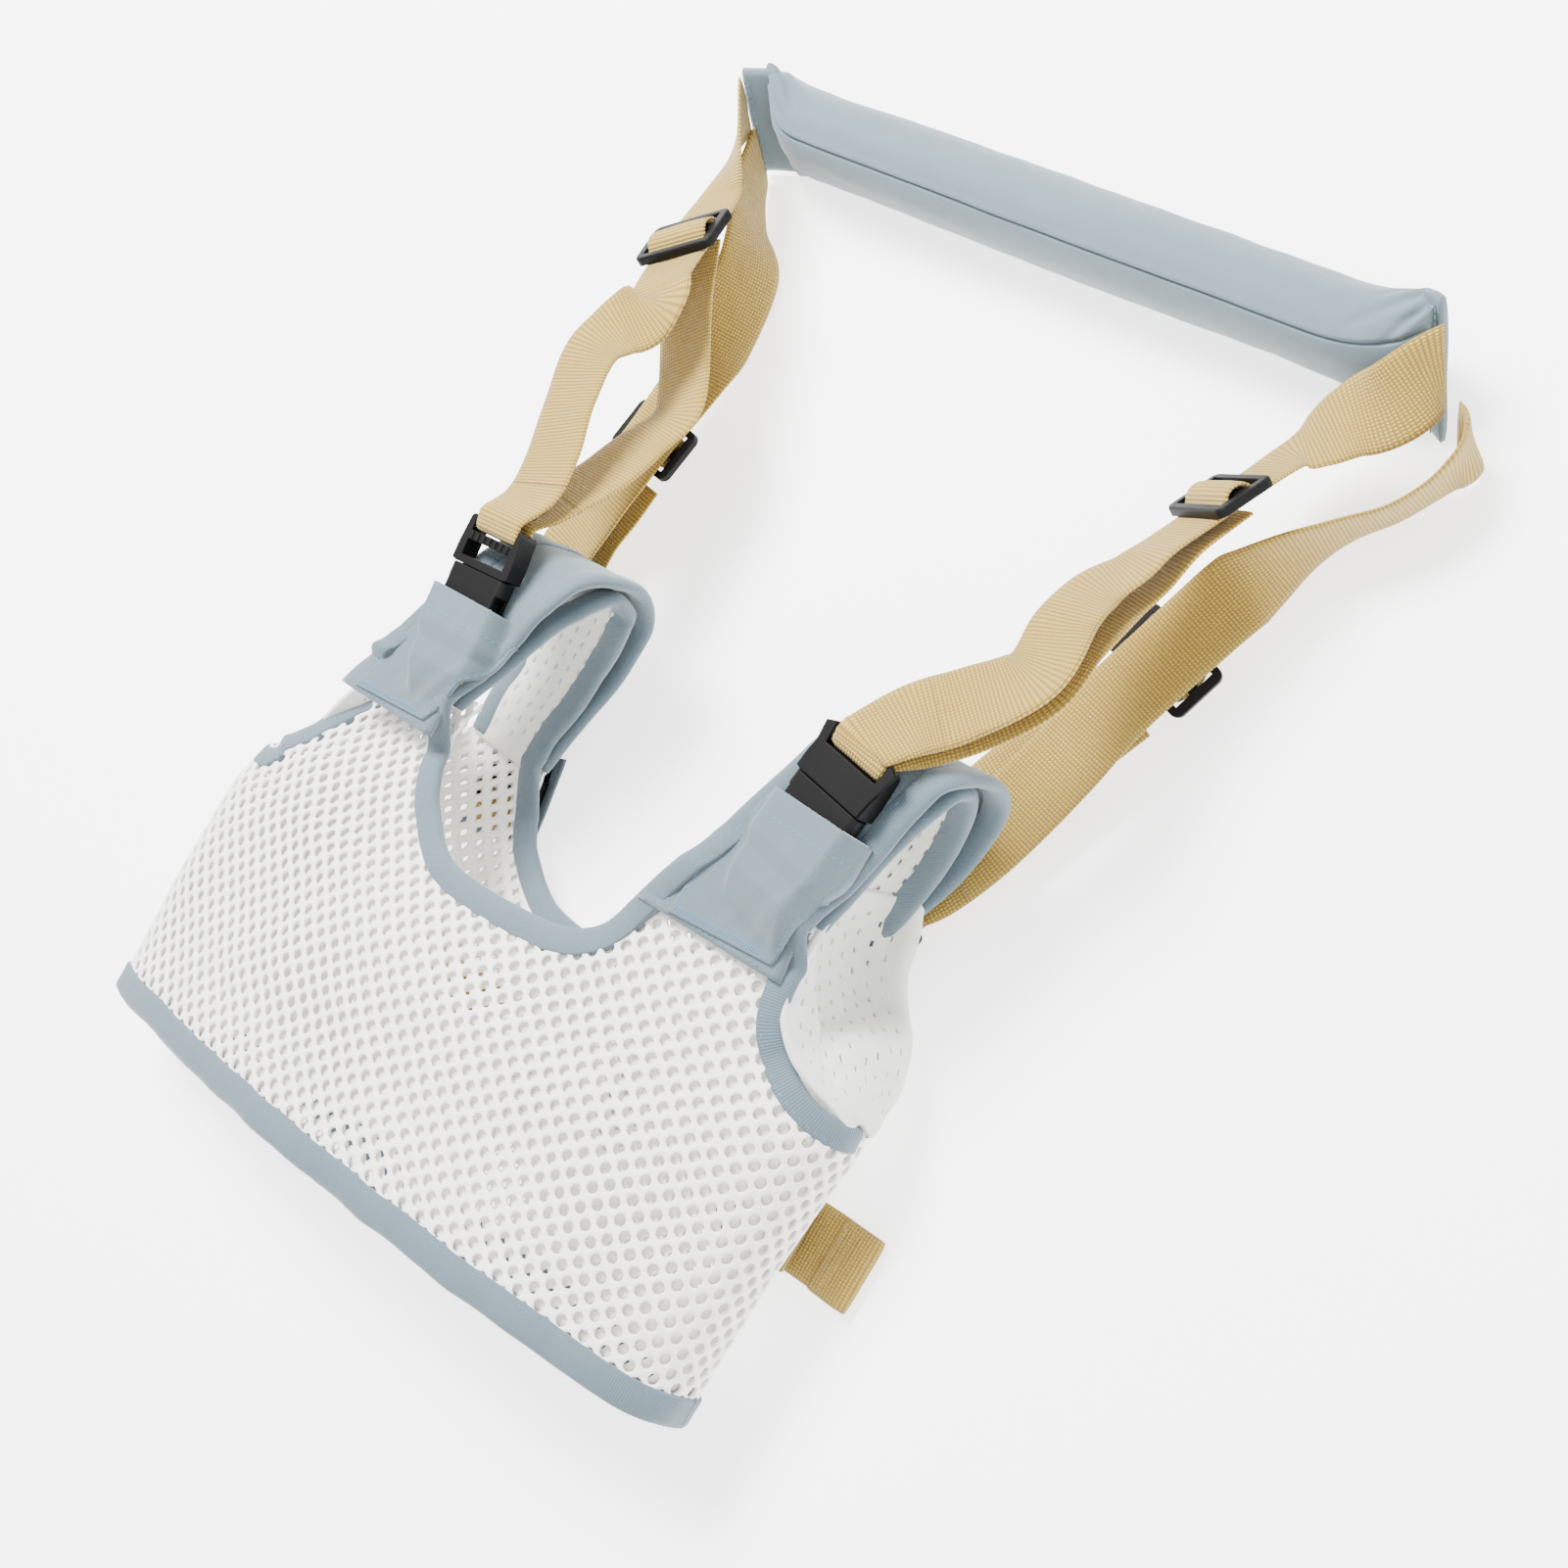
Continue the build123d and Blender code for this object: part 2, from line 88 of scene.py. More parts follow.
# ---- node helpers ------------------------------------------------------------------------
class Nodes:
    """Short calls for a material's node tree."""

    def __init__(self, name):
        self.material = bpy.data.materials.new(name)
        self.material.use_nodes = True
        self.tree = self.material.node_tree
        self.shader = self.tree.nodes["Principled BSDF"]

    def add(self, kind, **settings):
        node = self.tree.nodes.new(kind)
        for key, value in settings.items():
            setattr(node, key, value)
        return node

    def put(self, value, socket):
        if isinstance(value, bpy.types.NodeSocket):
            self.tree.links.new(value, socket)
        else:
            socket.default_value = value

    def math(self, operation, a, b=0.0, clamp=False):
        node = self.add("ShaderNodeMath", operation=operation, use_clamp=clamp)
        self.put(a, node.inputs[0])
        self.put(b, node.inputs[1])
        return node.outputs[0]

    def weave(self):
        """Cloth coordinates in millimetres: x across the piece and y along it."""
        split = self.add("ShaderNodeSeparateXYZ")
        attribute = self.add("ShaderNodeAttribute", attribute_name="weave")
        self.tree.links.new(attribute.outputs["Vector"], split.inputs[0])
        return split.outputs[0], split.outputs[1]

    def place(self):
        return self.add("ShaderNodeTexCoord").outputs["Object"]

    def total(self, a, part_a, b, part_b):
        """Weighted sum of two values."""
        return self.math("ADD", self.math("MULTIPLY", a, part_a), self.math("MULTIPLY", b, part_b))

    def stained(self, where, amount, colour, stain):
        """A colour shifted towards a stain where a slow noise is high."""
        return self.mix(self.math("MULTIPLY", where, amount), colour, stain)

    def noise(self, scale, detail=3.0, roughness=0.55):
        node = self.add("ShaderNodeTexNoise")
        self.put(self.place(), node.inputs["Vector"])
        node.inputs["Scale"].default_value = scale
        node.inputs["Detail"].default_value = detail
        node.inputs["Roughness"].default_value = roughness
        return node.outputs["Fac"]

    def wave(self, coordinate, pitch, shift=0.0):
        """A ripple from 0 to 1 with the given pitch."""
        turn = self.math("MULTIPLY", coordinate, 2 * math.pi / pitch)
        turn = self.math("ADD", turn, shift)
        return self.half(self.math("SINE", turn))

    def half(self, value):
        node = self.add("ShaderNodeMath", operation="MULTIPLY_ADD")
        self.put(value, node.inputs[0])
        node.inputs[1].default_value = 0.5
        node.inputs[2].default_value = 0.5
        return node.outputs[0]

    def ramp(self, value, stops):
        node = self.add("ShaderNodeValToRGB")
        self.put(value, node.inputs[0])
        elements = node.color_ramp.elements
        while len(elements) < len(stops):
            elements.new(0.5)
        for element, (at, colour) in zip(elements, stops):
            element.position = at
            element.color = (*colour, 1)
        return node.outputs[0]

    def mix(self, factor, a, b):
        node = self.add("ShaderNodeMix", data_type="RGBA")
        self.put(factor, node.inputs[0])
        self.put(a if isinstance(a, bpy.types.NodeSocket) else (*a, 1), node.inputs[6])
        self.put(b if isinstance(b, bpy.types.NodeSocket) else (*b, 1), node.inputs[7])
        return node.outputs[2]

    def bump(self, height, distance, strength=1.0, normal=None):
        node = self.add("ShaderNodeBump")
        node.inputs["Strength"].default_value = strength
        node.inputs["Distance"].default_value = distance
        self.put(height, node.inputs["Height"])
        if normal is not None:
            self.put(normal, node.inputs["Normal"])
        return node.outputs[0]

    def finish(self, colour, roughness, normal=None, sheen=0.0, sheen_rough=0.4, specular=0.3):
        self.put(colour, self.shader.inputs["Base Color"])
        self.put(roughness, self.shader.inputs["Roughness"])
        if normal is not None:
            self.put(normal, self.shader.inputs["Normal"])
        self.shader.inputs["Sheen Weight"].default_value = sheen
        self.shader.inputs["Sheen Roughness"].default_value = sheen_rough
        self.shader.inputs["Specular IOR Level"].default_value = specular
        return self.material


def linear(r, g, b):
    """A colour given as 0 to 255 display values, for a shader."""
    return tuple(((c / 255 + 0.055) / 1.055) ** 2.4 if c > 10 else c / 255 / 12.92 for c in (r, g, b))


# ---- materials ---------------------------------------------------------------------------
def webbing_material():
    """Ribbed webbing: rows of small knots across the band, staggered from row to row."""
    n = Nodes("webbing")
    u, v = n.weave()
    row_pitch, column_pitch, stagger = 1.25, 1.1, 0.9
    rib = n.wave(v, row_pitch)
    cell = n.math("FLOOR", n.math("MULTIPLY", v, 1 / row_pitch))
    column = n.wave(u, column_pitch, n.math("MULTIPLY", n.math("MODULO", cell, 2.0), stagger))
    knots = n.math("ADD", n.math("MULTIPLY", column, 0.7), 0.3)
    height = n.math("MULTIPLY", n.math("POWER", rib, 0.6), knots)
    fuzz = n.noise(2600, 2)
    broad = n.noise(34, 2)
    # Painted shade: the colour is darkest where the rib and knot height is low, in the grooves between knots,
    # mixed with random fibre tone.
    tone = n.math("ADD", height, n.math("MULTIPLY", n.math("SUBTRACT", fuzz, 0.5), 0.35), clamp=True)
    colour = n.ramp(tone, [(0.0, linear(130, 102, 42)), (0.3, linear(158, 131, 58)),
                           (0.75, linear(184, 158, 80)), (1.0, linear(196, 173, 98))])
    colour = n.stained(broad, 0.28, colour, linear(142, 108, 42))
    normal = n.bump(height, 0.0005, 0.9)
    normal = n.bump(fuzz, 0.00015, 0.5, normal)
    return n.finish(colour, 0.78, normal, sheen=0.25, specular=0.25)


def twill_material(name, pitch, colour_low, colour_high, slope=1.0, depth=0.00012):
    """Fine diagonal twill."""
    n = Nodes(name)
    u, v = n.weave()
    diagonal = n.math("ADD", n.math("MULTIPLY", u, slope), v)
    lines = n.wave(diagonal, pitch)
    threads = n.wave(n.math("SUBTRACT", u, v), pitch * 0.8)
    height = n.total(lines, 0.65, threads, 0.35)
    fuzz = n.noise(3200, 2)
    broad = n.noise(42, 3)
    # Painted shade: the colour darkens in the low grooves of the twill lines, mixed with random fibre tone.
    colour = n.mix(n.total(height, 0.55, fuzz, 0.45), colour_low, colour_high)
    colour = n.stained(broad, 0.22, colour, colour_low)
    normal = n.bump(height, depth, 0.7)
    normal = n.bump(fuzz, 0.00008, 0.5, normal)
    rough = n.math("ADD", n.math("MULTIPLY", broad, 0.12), 0.72)
    return n.finish(colour, rough, normal, sheen=0.35, specular=0.25)


def grosgrain_material():
    """Binding tape with fine ribs across it."""
    n = Nodes("binding_tape")
    u, v = n.weave()
    height = n.total(n.wave(v, 0.8), 0.75, n.wave(u, 0.55), 0.25)
    fuzz = n.noise(3000, 2)
    broad = n.noise(50, 2)
    # Painted shade: the colour darkens in the grooves between the ribs, mixed with random fibre tone.
    colour = n.mix(n.total(height, 0.6, fuzz, 0.4), linear(70, 87, 97), linear(102, 118, 126))
    colour = n.stained(broad, 0.2, colour, linear(70, 87, 98))
    normal = n.bump(height, 0.00018, 0.8)
    normal = n.bump(fuzz, 0.00006, 0.4, normal)
    return n.finish(colour, 0.7, normal, sheen=0.3, specular=0.3)


def mesh_material():
    """White knitted spacer mesh."""
    n = Nodes("spacer_mesh")
    fine = n.noise(2400, 3, 0.6)
    knit = n.add("ShaderNodeTexVoronoi")
    n.put(n.place(), knit.inputs["Vector"])
    knit.inputs["Scale"].default_value = 1500
    broad = n.noise(30, 2)
    tone = n.total(fine, 0.6, knit.outputs["Distance"], 0.5)
    colour = n.mix(tone, linear(232, 229, 222), linear(251, 250, 247))
    colour = n.stained(broad, 0.25, colour, linear(240, 236, 228))
    normal = n.bump(tone, 0.00022, 0.7)
    return n.finish(colour, 0.82, normal, sheen=0.4, specular=0.2)


def lining_material():
    """Smooth white lining, brushed and faintly ribbed."""
    n = Nodes("lining")
    fine = n.noise(1800, 3, 0.6)
    broad = n.noise(60, 3)
    colour = n.mix(fine, linear(206, 206, 198), linear(228, 228, 220))
    colour = n.stained(broad, 0.2, colour, linear(206, 205, 196))
    normal = n.bump(fine, 0.00012, 0.5)
    normal = n.bump(n.noise(260, 2), 0.0004, 0.5, normal)
    return n.finish(colour, 0.75, normal, sheen=0.5, specular=0.25)


def plastic_material():
    """Black moulded acetal, finely textured, a little polished on its edges."""
    n = Nodes("black_plastic")
    grain = n.noise(2200, 2)
    broad = n.noise(90, 3)
    bevel = n.add("ShaderNodeBevel", samples=4)
    bevel.inputs["Radius"].default_value = 0.0006
    colour = n.mix(broad, linear(9, 9, 9), linear(15, 15, 15))
    rough = n.math("ADD", n.math("MULTIPLY", grain, 0.16), 0.42)
    normal = n.bump(grain, 0.00004, 0.5, bevel.outputs[0])
    return n.finish(colour, rough, normal, specular=0.12)


def thread_material(name, low, high):
    """Twisted sewing thread."""
    n = Nodes(name)
    fine = n.noise(3500, 2)
    colour = n.mix(fine, low, high)
    return n.finish(colour, 0.6, n.bump(fine, 0.0001, 0.6), sheen=0.2)


MAT = {
    "webbing": webbing_material(),
    "twill": twill_material("twill", 0.62, linear(76, 92, 101), linear(110, 124, 131)),
    "handle": twill_material("handle_twill", 0.5, linear(82, 98, 107), linear(114, 129, 136), 0.7, 0.00008),
    "bias": twill_material("bias_tape", 0.7, linear(75, 91, 100), linear(107, 122, 129), -1.0),
    "tape": grosgrain_material(),
    "mesh": mesh_material(),
    "lining": lining_material(),
    "plastic": plastic_material(),
    "thread_blue": thread_material("thread_blue", linear(64, 104, 126), linear(98, 136, 156)),
    "thread_beige": thread_material("thread_beige", linear(160, 132, 66), linear(196, 172, 104)),
}


# ---- mesh helpers ------------------------------------------------------------------------
def piece(name, points, faces, material, weave=None):
    """A mesh object from layout millimetres, with its cloth coordinates."""
    mesh = bpy.data.meshes.new(name)
    mesh.from_pydata(row(points).tolist(), [], faces)
    if weave is not None:
        attribute = mesh.attributes.new("weave", "FLOAT_VECTOR", "POINT")
        flat = np.zeros((len(mesh.vertices), 3), np.float32)
        flat[:, :2] = np.asarray(weave, float)[:, :2]
        attribute.data.foreach_set("vector", flat.ravel())
    mesh.polygons.foreach_set("use_smooth", [True] * len(mesh.polygons))
    mesh.materials.append(material)
    mesh.validate()
    mesh.update()
    obj = bpy.data.objects.new(name, mesh)
    bpy.context.scene.collection.objects.link(obj)
    return obj


def arc_length(points):
    """Distance along a line of points, from 0 at its start."""
    return np.concatenate([[0], np.cumsum(np.linalg.norm(np.diff(points, axis=0), axis=1))])


def at_lengths(at, length, values):
    """Rows of values read at distances along a line."""
    return np.column_stack([np.interp(at, length, column) for column in values.T])


def curve_through(points, spacing):
    """Evenly spaced points of a smooth curve through all columns of the given points."""
    p = np.asarray(points, float)
    p = np.vstack([2 * p[0] - p[1], p, 2 * p[-1] - p[-2]])
    out = []
    for i in range(1, len(p) - 2):
        a, b, c, d = p[i - 1], p[i], p[i + 1], p[i + 2]
        for t in np.linspace(0, 1, 24, endpoint=False):
            out.append(0.5 * (2 * b + (c - a) * t + (2 * a - 5 * b + 4 * c - d) * t * t
                              + (3 * b - a - 3 * c + d) * t ** 3))
    out.append(p[-2])
    out = np.array(out)
    length = arc_length(out[:, :3])
    count = max(2, int(round(length[-1] / spacing)) + 1)
    return at_lengths(np.linspace(0, length[-1], count), length, out)


def bell(gap, width):
    """1 at a gap of 0, falling smoothly to nothing a few widths away."""
    return math.exp(-(gap / width) ** 2)


def unit_rows(v):
    """Each row at length 1."""
    return v / np.maximum(np.linalg.norm(v, axis=1, keepdims=True), 1e-9)


def frames(centres, across):
    """Along, across and normal directions for each station of a band."""
    along = unit_rows(np.gradient(centres, axis=0))
    wide = across - along * np.sum(across * along, axis=1, keepdims=True)
    wide = unit_rows(wide)
    return along, wide, np.cross(along, wide)


def tube_faces(rings, sides, start=0):
    """Faces of a closed tube of vertex rings, with a cap at each end."""
    faces = []
    for ring in range(rings - 1):
        for k in range(sides):
            a = start + ring * sides + k
            b = start + ring * sides + (k + 1) % sides
            faces.append((a, b, b + sides, a + sides))
    faces.append(tuple(start + k for k in reversed(range(sides))))
    faces.append(tuple(start + (rings - 1) * sides + k for k in range(sides)))
    return faces


def band_mesh(centres, wide, normal, widths, thick, cols=10, cup=0.0, wave=0.25, seed=1, length0=0.0):
    """Closed strip: returns points, faces and weave coordinates."""
    n = len(centres)
    s = np.linspace(-1, 1, cols + 1)
    edge = 1 - 0.45 * np.abs(s) ** 8
    points, weave = [], []
    step = arc_length(centres) + length0
    for i in range(n):
        drift = np.array([noise.noise(Vector((step[i] / 14, float(x) * 1.3, seed * 5.7))) for x in s]) * wave
        lift = cup * (s ** 2 - 0.4) + drift
        for face in (1, -1):
            h = lift + face * thick / 2 * edge
            points.append(centres[i] + np.outer(s * widths[i] / 2, wide[i]) + np.outer(h, normal[i]))
            weave.append(np.column_stack([s * widths[i] / 2, np.full(cols + 1, step[i])]))
    points, weave = np.vstack(points), np.vstack(weave)
    ring = 2 * (cols + 1)
    order = list(range(cols + 1)) + list(range(2 * cols + 1, cols, -1))
    faces = []
    for i in range(n - 1):
        for k in range(ring):
            a, b = order[k], order[(k + 1) % ring]
            faces.append((i * ring + a, i * ring + b, (i + 1) * ring + b, (i + 1) * ring + a))
    for k in range(cols):
        faces.append((k + 1, k, cols + 1 + k, cols + 2 + k))
        base = (n - 1) * ring
        faces.append((base + k, base + k + 1, base + cols + 2 + k, base + cols + 1 + k))
    return points, faces, weave


def station_rows(stations):
    """Rows of centre, unit across and width share from (centre, across) or (centre, across, (share,))."""
    rows = []
    for centre, across, *share in stations:
        across = np.array(across, float)
        rows.append((*centre, *(across / np.linalg.norm(across)), *(share[0] if share else (1.0,))))
    return rows


def band(name, stations, width, thick, spacing=2.0, **options):
    """Webbing through stations."""
    path = curve_through(station_rows(stations), spacing)
    centres = path[:, :3]
    _, wide, normal = frames(centres, path[:, 3:6])
    points, faces, weave = band_mesh(centres, wide, normal, path[:, 6] * width, thick, **options)
    return piece(name, points, faces, MAT["webbing"], weave)


def stitches(name, lines, body, pitch=3.0, length=2.1, radius=0.28, material="thread_blue"):
    """Rows of single stitches. Each line is (points, normals)."""
    points, faces = [], []
    sides, rings = 6, ((-1, 0.35), (-0.6, 1), (0.6, 1), (1, 0.35))
    for path, normals in lines:
        path, normals = np.asarray(path, float), np.asarray(normals, float)
        step = arc_length(path)
        for at in np.arange(pitch / 2, step[-1] - length / 2, pitch):
            c, n = at_lengths([at], step, path)[0], at_lengths([at], step, normals)[0]
            d = at_lengths([at + 0.6], step, path)[0] - c
            if np.linalg.norm(d) < 1e-6:
                continue
            d = d / np.linalg.norm(d)
            n = n - d * n.dot(d)
            n = n / np.linalg.norm(n)
            side = np.cross(d, n)
            start = len(points)
            for where, wide in rings:
                sink = -0.25 * abs(where) ** 3
                for k in range(sides):
                    angle = 2 * math.pi * k / sides
                    rise = math.sin(angle) * radius * 0.8 * wide + sink * radius * 2
                    off = side * math.cos(angle) * radius * wide + n * rise
                    points.append(c + d * where * length / 2 + off)
            faces += tube_faces(len(rings), sides, start)
    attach(piece(name, points, faces, MAT[material]), body)


# ---- the vest as one flattened tube --------------------------------------------------------
# The way round the vest, for the mesh's cells; y of its hem; x of its side folds by y.
LOOP_MM = 600.0
HEM_Y = -203.0
LEFT_FOLD = [(-203, -176), (-160, -178), (-114, -177), (-91, -169), (-60, -152), (-40, -144)]
RIGHT_FOLD = [(-203, 110), (-150, 112), (-119, 115), (-104, 117), (-60, 113), (-40, 109)]
FOLD_Z = 29.0
# Cross-sections from the left fold to the right one: (share of half width, share of height).
CHEST = [(-1.0, 0.0), (-0.985, 0.13), (-0.93, 0.26), (-0.81, 0.42), (-0.54, 0.69), (-0.2, 0.93), (0.1, 1.0),
         (0.38, 1.0), (0.6, 0.93), (0.78, 0.8), (0.9, 0.66), (0.965, 0.47), (0.995, 0.25), (1.0, 0.0)]
BACK = [(-1.0, 0.0), (-0.99, 0.3), (-0.95, 0.6), (-0.85, 0.88), (-0.6, 1.0), (0.0, 1.0), (0.6, 1.0),
        (0.86, 0.88), (0.96, 0.6), (0.993, 0.3), (1.0, 0.0)]
# Height of the chest over the folds by y, and depth of the back below them.
BACK_H = -17.0
CHEST_H = [(-203, 36.5), (-150, 37), (-110, 36), (-78, 34), (-40, 33.5)]
ROWS_Y = np.linspace(-206, -36, 69)
STEPS_T = 420


def at_y(table, y):
    """A value read from rows of (y, value)."""
    table = np.array(table, float)
    return np.interp(y, table[:, 0], table[:, 1])


def half_profile(table, left, right, height):
    """Evenly spaced x and z across the chest or the back."""
    flatter = 0.4
    fine = curve_through([(s, h * flatter, 0) for s, h in table], 0.01)
    x = (left + right) / 2 + fine[:, 0] * (right - left) / 2
    z = FOLD_Z + fine[:, 1] / flatter * height
    length = np.concatenate([[0], np.cumsum(np.hypot(np.diff(x), np.diff(z)))])
    at = np.linspace(0, length[-1], STEPS_T // 2 + 1)
    return np.interp(at, length, x), np.interp(at, length, z)


def build_tube():
    """Points of the vest's outer face, a row for each y."""
    grid = np.zeros((len(ROWS_Y), STEPS_T, 3))
    for j, y in enumerate(ROWS_Y):
        left, right = at_y(LEFT_FOLD, y), at_y(RIGHT_FOLD, y)
        fx, fz = half_profile(CHEST, left, right, at_y(CHEST_H, y))
        bx, bz = half_profile(BACK, left, right, BACK_H)
        x = np.concatenate([fx[::-1][:-1], bx[:-1]])
        z = np.concatenate([fz[::-1][:-1], bz[:-1]])
        for k in range(STEPS_T):
            front = z[k] > FOLD_Z
            p = Vector((x[k] / 38, y / 30, 0.0 if front else 9.0))
            swell = noise.noise(p) * 1.6 + noise.noise(p * 2.3 + Vector((4, 7, 1))) * 0.7
            calm = min(1.0, abs(z[k] - FOLD_Z) / 12)
            if front and y > -92:
                calm *= max(0.0, min(1.0, (-66 - y) / 26))
            z[k] += swell * calm * (1 if front else 0.5)
        grid[j, :, 0], grid[j, :, 1], grid[j, :, 2] = x, y, z
    return grid


TUBE = build_tube()
TUBE_N = np.cross(np.gradient(TUBE, axis=0), np.roll(TUBE, -1, axis=1) - np.roll(TUBE, 1, axis=1))
TUBE_N /= np.linalg.norm(TUBE_N, axis=2, keepdims=True)


def tube(t, y, depth=0.0):
    """Points on the vest, depth inside its outer face, and normals, at turn t and height y.

    t is 0 at the right fold and 0.5 at the left fold."""
    u = np.asarray(t, float) % 1.0 * STEPS_T
    v = np.clip((y - ROWS_Y[0]) / (ROWS_Y[1] - ROWS_Y[0]), 0, len(ROWS_Y) - 1.001)
    u0, v0 = np.floor(u).astype(int), np.floor(v).astype(int)
    fu, fv = (u - u0)[:, None], (v - v0)[:, None]
    u0, u1 = u0 % STEPS_T, (u0 + 1) % STEPS_T

    def take(grid):
        return ((grid[v0, u0] * (1 - fu) + grid[v0, u1] * fu) * (1 - fv)
                + (grid[v0 + 1, u0] * (1 - fu) + grid[v0 + 1, u1] * fu) * fv)

    n = unit_rows(take(TUBE_N))
    return take(TUBE) - n * np.asarray(depth, float).reshape(-1, 1), n


def turn_at(x, y, front=True):
    """The turn t where the chest or back passes over (x, y)."""
    j = int(np.clip(round((y - ROWS_Y[0]) / (ROWS_Y[1] - ROWS_Y[0])), 0, len(ROWS_Y) - 1))
    half = STEPS_T // 2
    ks = np.arange(0, half + 1)[::-1] if front else np.arange(half, STEPS_T + 1)
    return float(np.interp(x, TUBE[j, ks % STEPS_T, 0], ks)) / STEPS_T


# Openings, as lines of (x, y) along the free edge of the mesh.
NECK_FRONT = [(-70, -42), (-74.5, -54), (-75.5, -62), (-72, -73), (-66, -81), (-57, -89), (-46, -93.5),
              (-33, -94.5), (-11, -93.5), (4, -91.5), (14, -87.5), (20.5, -81), (24.5, -71), (31.5, -60),
              (38, -50)]
ARM_RIGHT = [(87, -50), (86.5, -62), (87, -72), (90, -82), (98, -90), (107, -94.5), (113, -96), (124, -96)]
ARM_LEFT = [(-118, -46), (-127, -57), (-137, -68), (-147, -79), (-155, -87), (-163, -93), (-176, -97)]
NECK_BACK = [(-66, -46), (-66, -58), (-63, -68), (-57, -78), (-48, -86), (-36, -92), (-20, -94), (-4, -92),
             (9, -86), (18, -78), (25, -68), (31, -58), (38, -46)]
BACK_ARM_RIGHT = [(79, -45), (82, -52), (89, -60), (95, -67), (101, -72), (107, -77), (113, -83),
                  (121, -92)]
BACK_ARM_LEFT = [(-105, -45), (-108, -52), (-116, -60), (-126, -67), (-137, -73), (-147, -80), (-157, -88),
                 (-170, -97)]


def smooth_line(points):
    """A smooth curve through (x, y) points."""
    return curve_through([(x, y, 0) for x, y in points], 1.5)[:, :2]


def outline(front):
    """The panel's cut in x and y, run out past the side folds."""
    neck = smooth_line(NECK_FRONT if front else NECK_BACK)
    right = smooth_line(ARM_RIGHT if front else BACK_ARM_RIGHT)
    left = smooth_line(ARM_LEFT if front else BACK_ARM_LEFT)
    corners_low = [(220, -93), (220, HEM_Y), (-280, HEM_Y), (-280, -97)]
    return np.vstack([neck, right, corners_low, left[::-1]])


OUTLINE = {True: outline(True), False: outline(False)}


def inside(p, polygon):
    """Distance inside a polygon, negative outside."""
    a, b = polygon, np.roll(polygon, -1, axis=0)
    d = b - a
    w = p - a
    t = np.clip(np.sum(w * d, axis=1) / np.maximum(np.sum(d * d, axis=1), 1e-9), 0, 1)
    near = np.linalg.norm(w - d * t[:, None], axis=1).min()
    crossing = ((a[:, 1] > p[1]) != (b[:, 1] > p[1]))
    xs = a[:, 0] + (p[1] - a[:, 1]) * d[:, 0] / np.where(d[:, 1] == 0, 1e-9, d[:, 1])
    return near if np.sum(crossing & (p[0] < xs)) % 2 else -near


# y of the mesh's first row of cells. A cell may reach a little past the inset from the panel's cut,
# and one near the cut is pulled back inside it, by at most this much a step.
MESH_Y = HEM_Y + 6.0
REACH_PAST, NEAR_CUT, PULL_MOST = 1.3, 5, 2.6


def lattice(name, front, columns, pitch_y, rows, holes, depths, inset, sides=12):
    """Knitted mesh over one side of the vest: cells with real holes, solid between two depths.

    holes is a list of (radius in mm, sink in mm) from a cell's rim inwards."""
    cut = OUTLINE[front]
    step_u = LOOP_MM / columns
    low = (step_u ** 2 - (pitch_y / 2) ** 2) / (2 * step_u)
    high = step_u - low
    half = pitch_y / 2
    corner = np.array([(high, 0), (low, half), (-low, half), (-high, 0), (-low, -half), (low, -half)])
    rim = []
    for k in range(6):
        rim.append(corner[k])
        if sides == 12:
            rim.append((corner[k] + corner[(k + 1) % 6]) / 2)
    rim = np.array(rim)
    angle = np.arctan2(rim[:, 1], rim[:, 0])
    flat, faces, shared, sinks = [], [], {}, []

    def vertex(u, v, sink, share=True, near=False):
        key = (round(u * 20), round(v * 20))
        if share and key in shared:
            return shared[key]
        if near:
            u, v = settle(u, v)
        flat.append((u, v))
        sinks.append(sink)
        if share:
            shared[key] = len(flat) - 1
        return len(flat) - 1

    def settle(u, v):
        """Pulls a point near the panel's cut back inside it."""
        for _ in range(3):
            (p,), _ = tube([u / LOOP_MM], [v])
            gap = min(PULL_MOST, inset - inside(p[:2], cut))
            if gap <= 0:
                break
            dx, dy = (inside(p[:2] + s, cut) - inside(p[:2] - s, cut) for s in 0.5 * np.eye(2))
            size = max(0.3, math.hypot(dx, dy))
            u += (-1 if front else 1) * dx / size * gap
            v += dy / size * gap
        return u, v

    first, last = (0, columns // 2) if front else (columns // 2, columns)
    for j in range(rows):
        for i in range(first, last):
            u, v = (i + 0.5) * step_u, MESH_Y + (j + 0.5 * (i % 2)) * pitch_y
            (q,), _ = tube([u / LOOP_MM], [v])
            deep = inside(q[:2], cut)
            if deep < inset - REACH_PAST:
                continue
            near = deep < inset + NEAR_CUT
            loops = [[vertex(u + x, v + y, 0.0, near=near) for x, y in rim]]
            for radius, sink in holes:
                at = [(u + radius * math.cos(a), v + radius * 1.06 * math.sin(a)) for a in angle]
                loops.append([vertex(x, y, sink, False, near) for x, y in at])
            for outer, inner in zip(loops, loops[1:]):
                for k in range(sides):
                    m = (k + 1) % sides
                    faces.append((outer[k], outer[m], inner[m], inner[k]))
    flat, sinks = np.array(flat), np.array(sinks)
    count = len(flat)
    edges = set()
    for f in faces:
        edges.update(zip(f, f[1:] + f[:1]))
    border = [(a, b) for a, b in edges if (b, a) not in edges]
    top, _ = tube(flat[:, 0] / LOOP_MM, flat[:, 1], depths[0] + sinks)
    under, _ = tube(flat[:, 0] / LOOP_MM, flat[:, 1], depths[1] - sinks * 0.5)
    all_faces = [tuple(reversed(f)) for f in faces]
    all_faces += [tuple(x + count for x in f) for f in faces]
    all_faces += [(a, b, b + count, a + count) for a, b in sorted(border)]
    obj = piece(name, np.vstack([top, under]), all_faces, MAT["mesh"])
    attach(obj, "vest")
    return obj


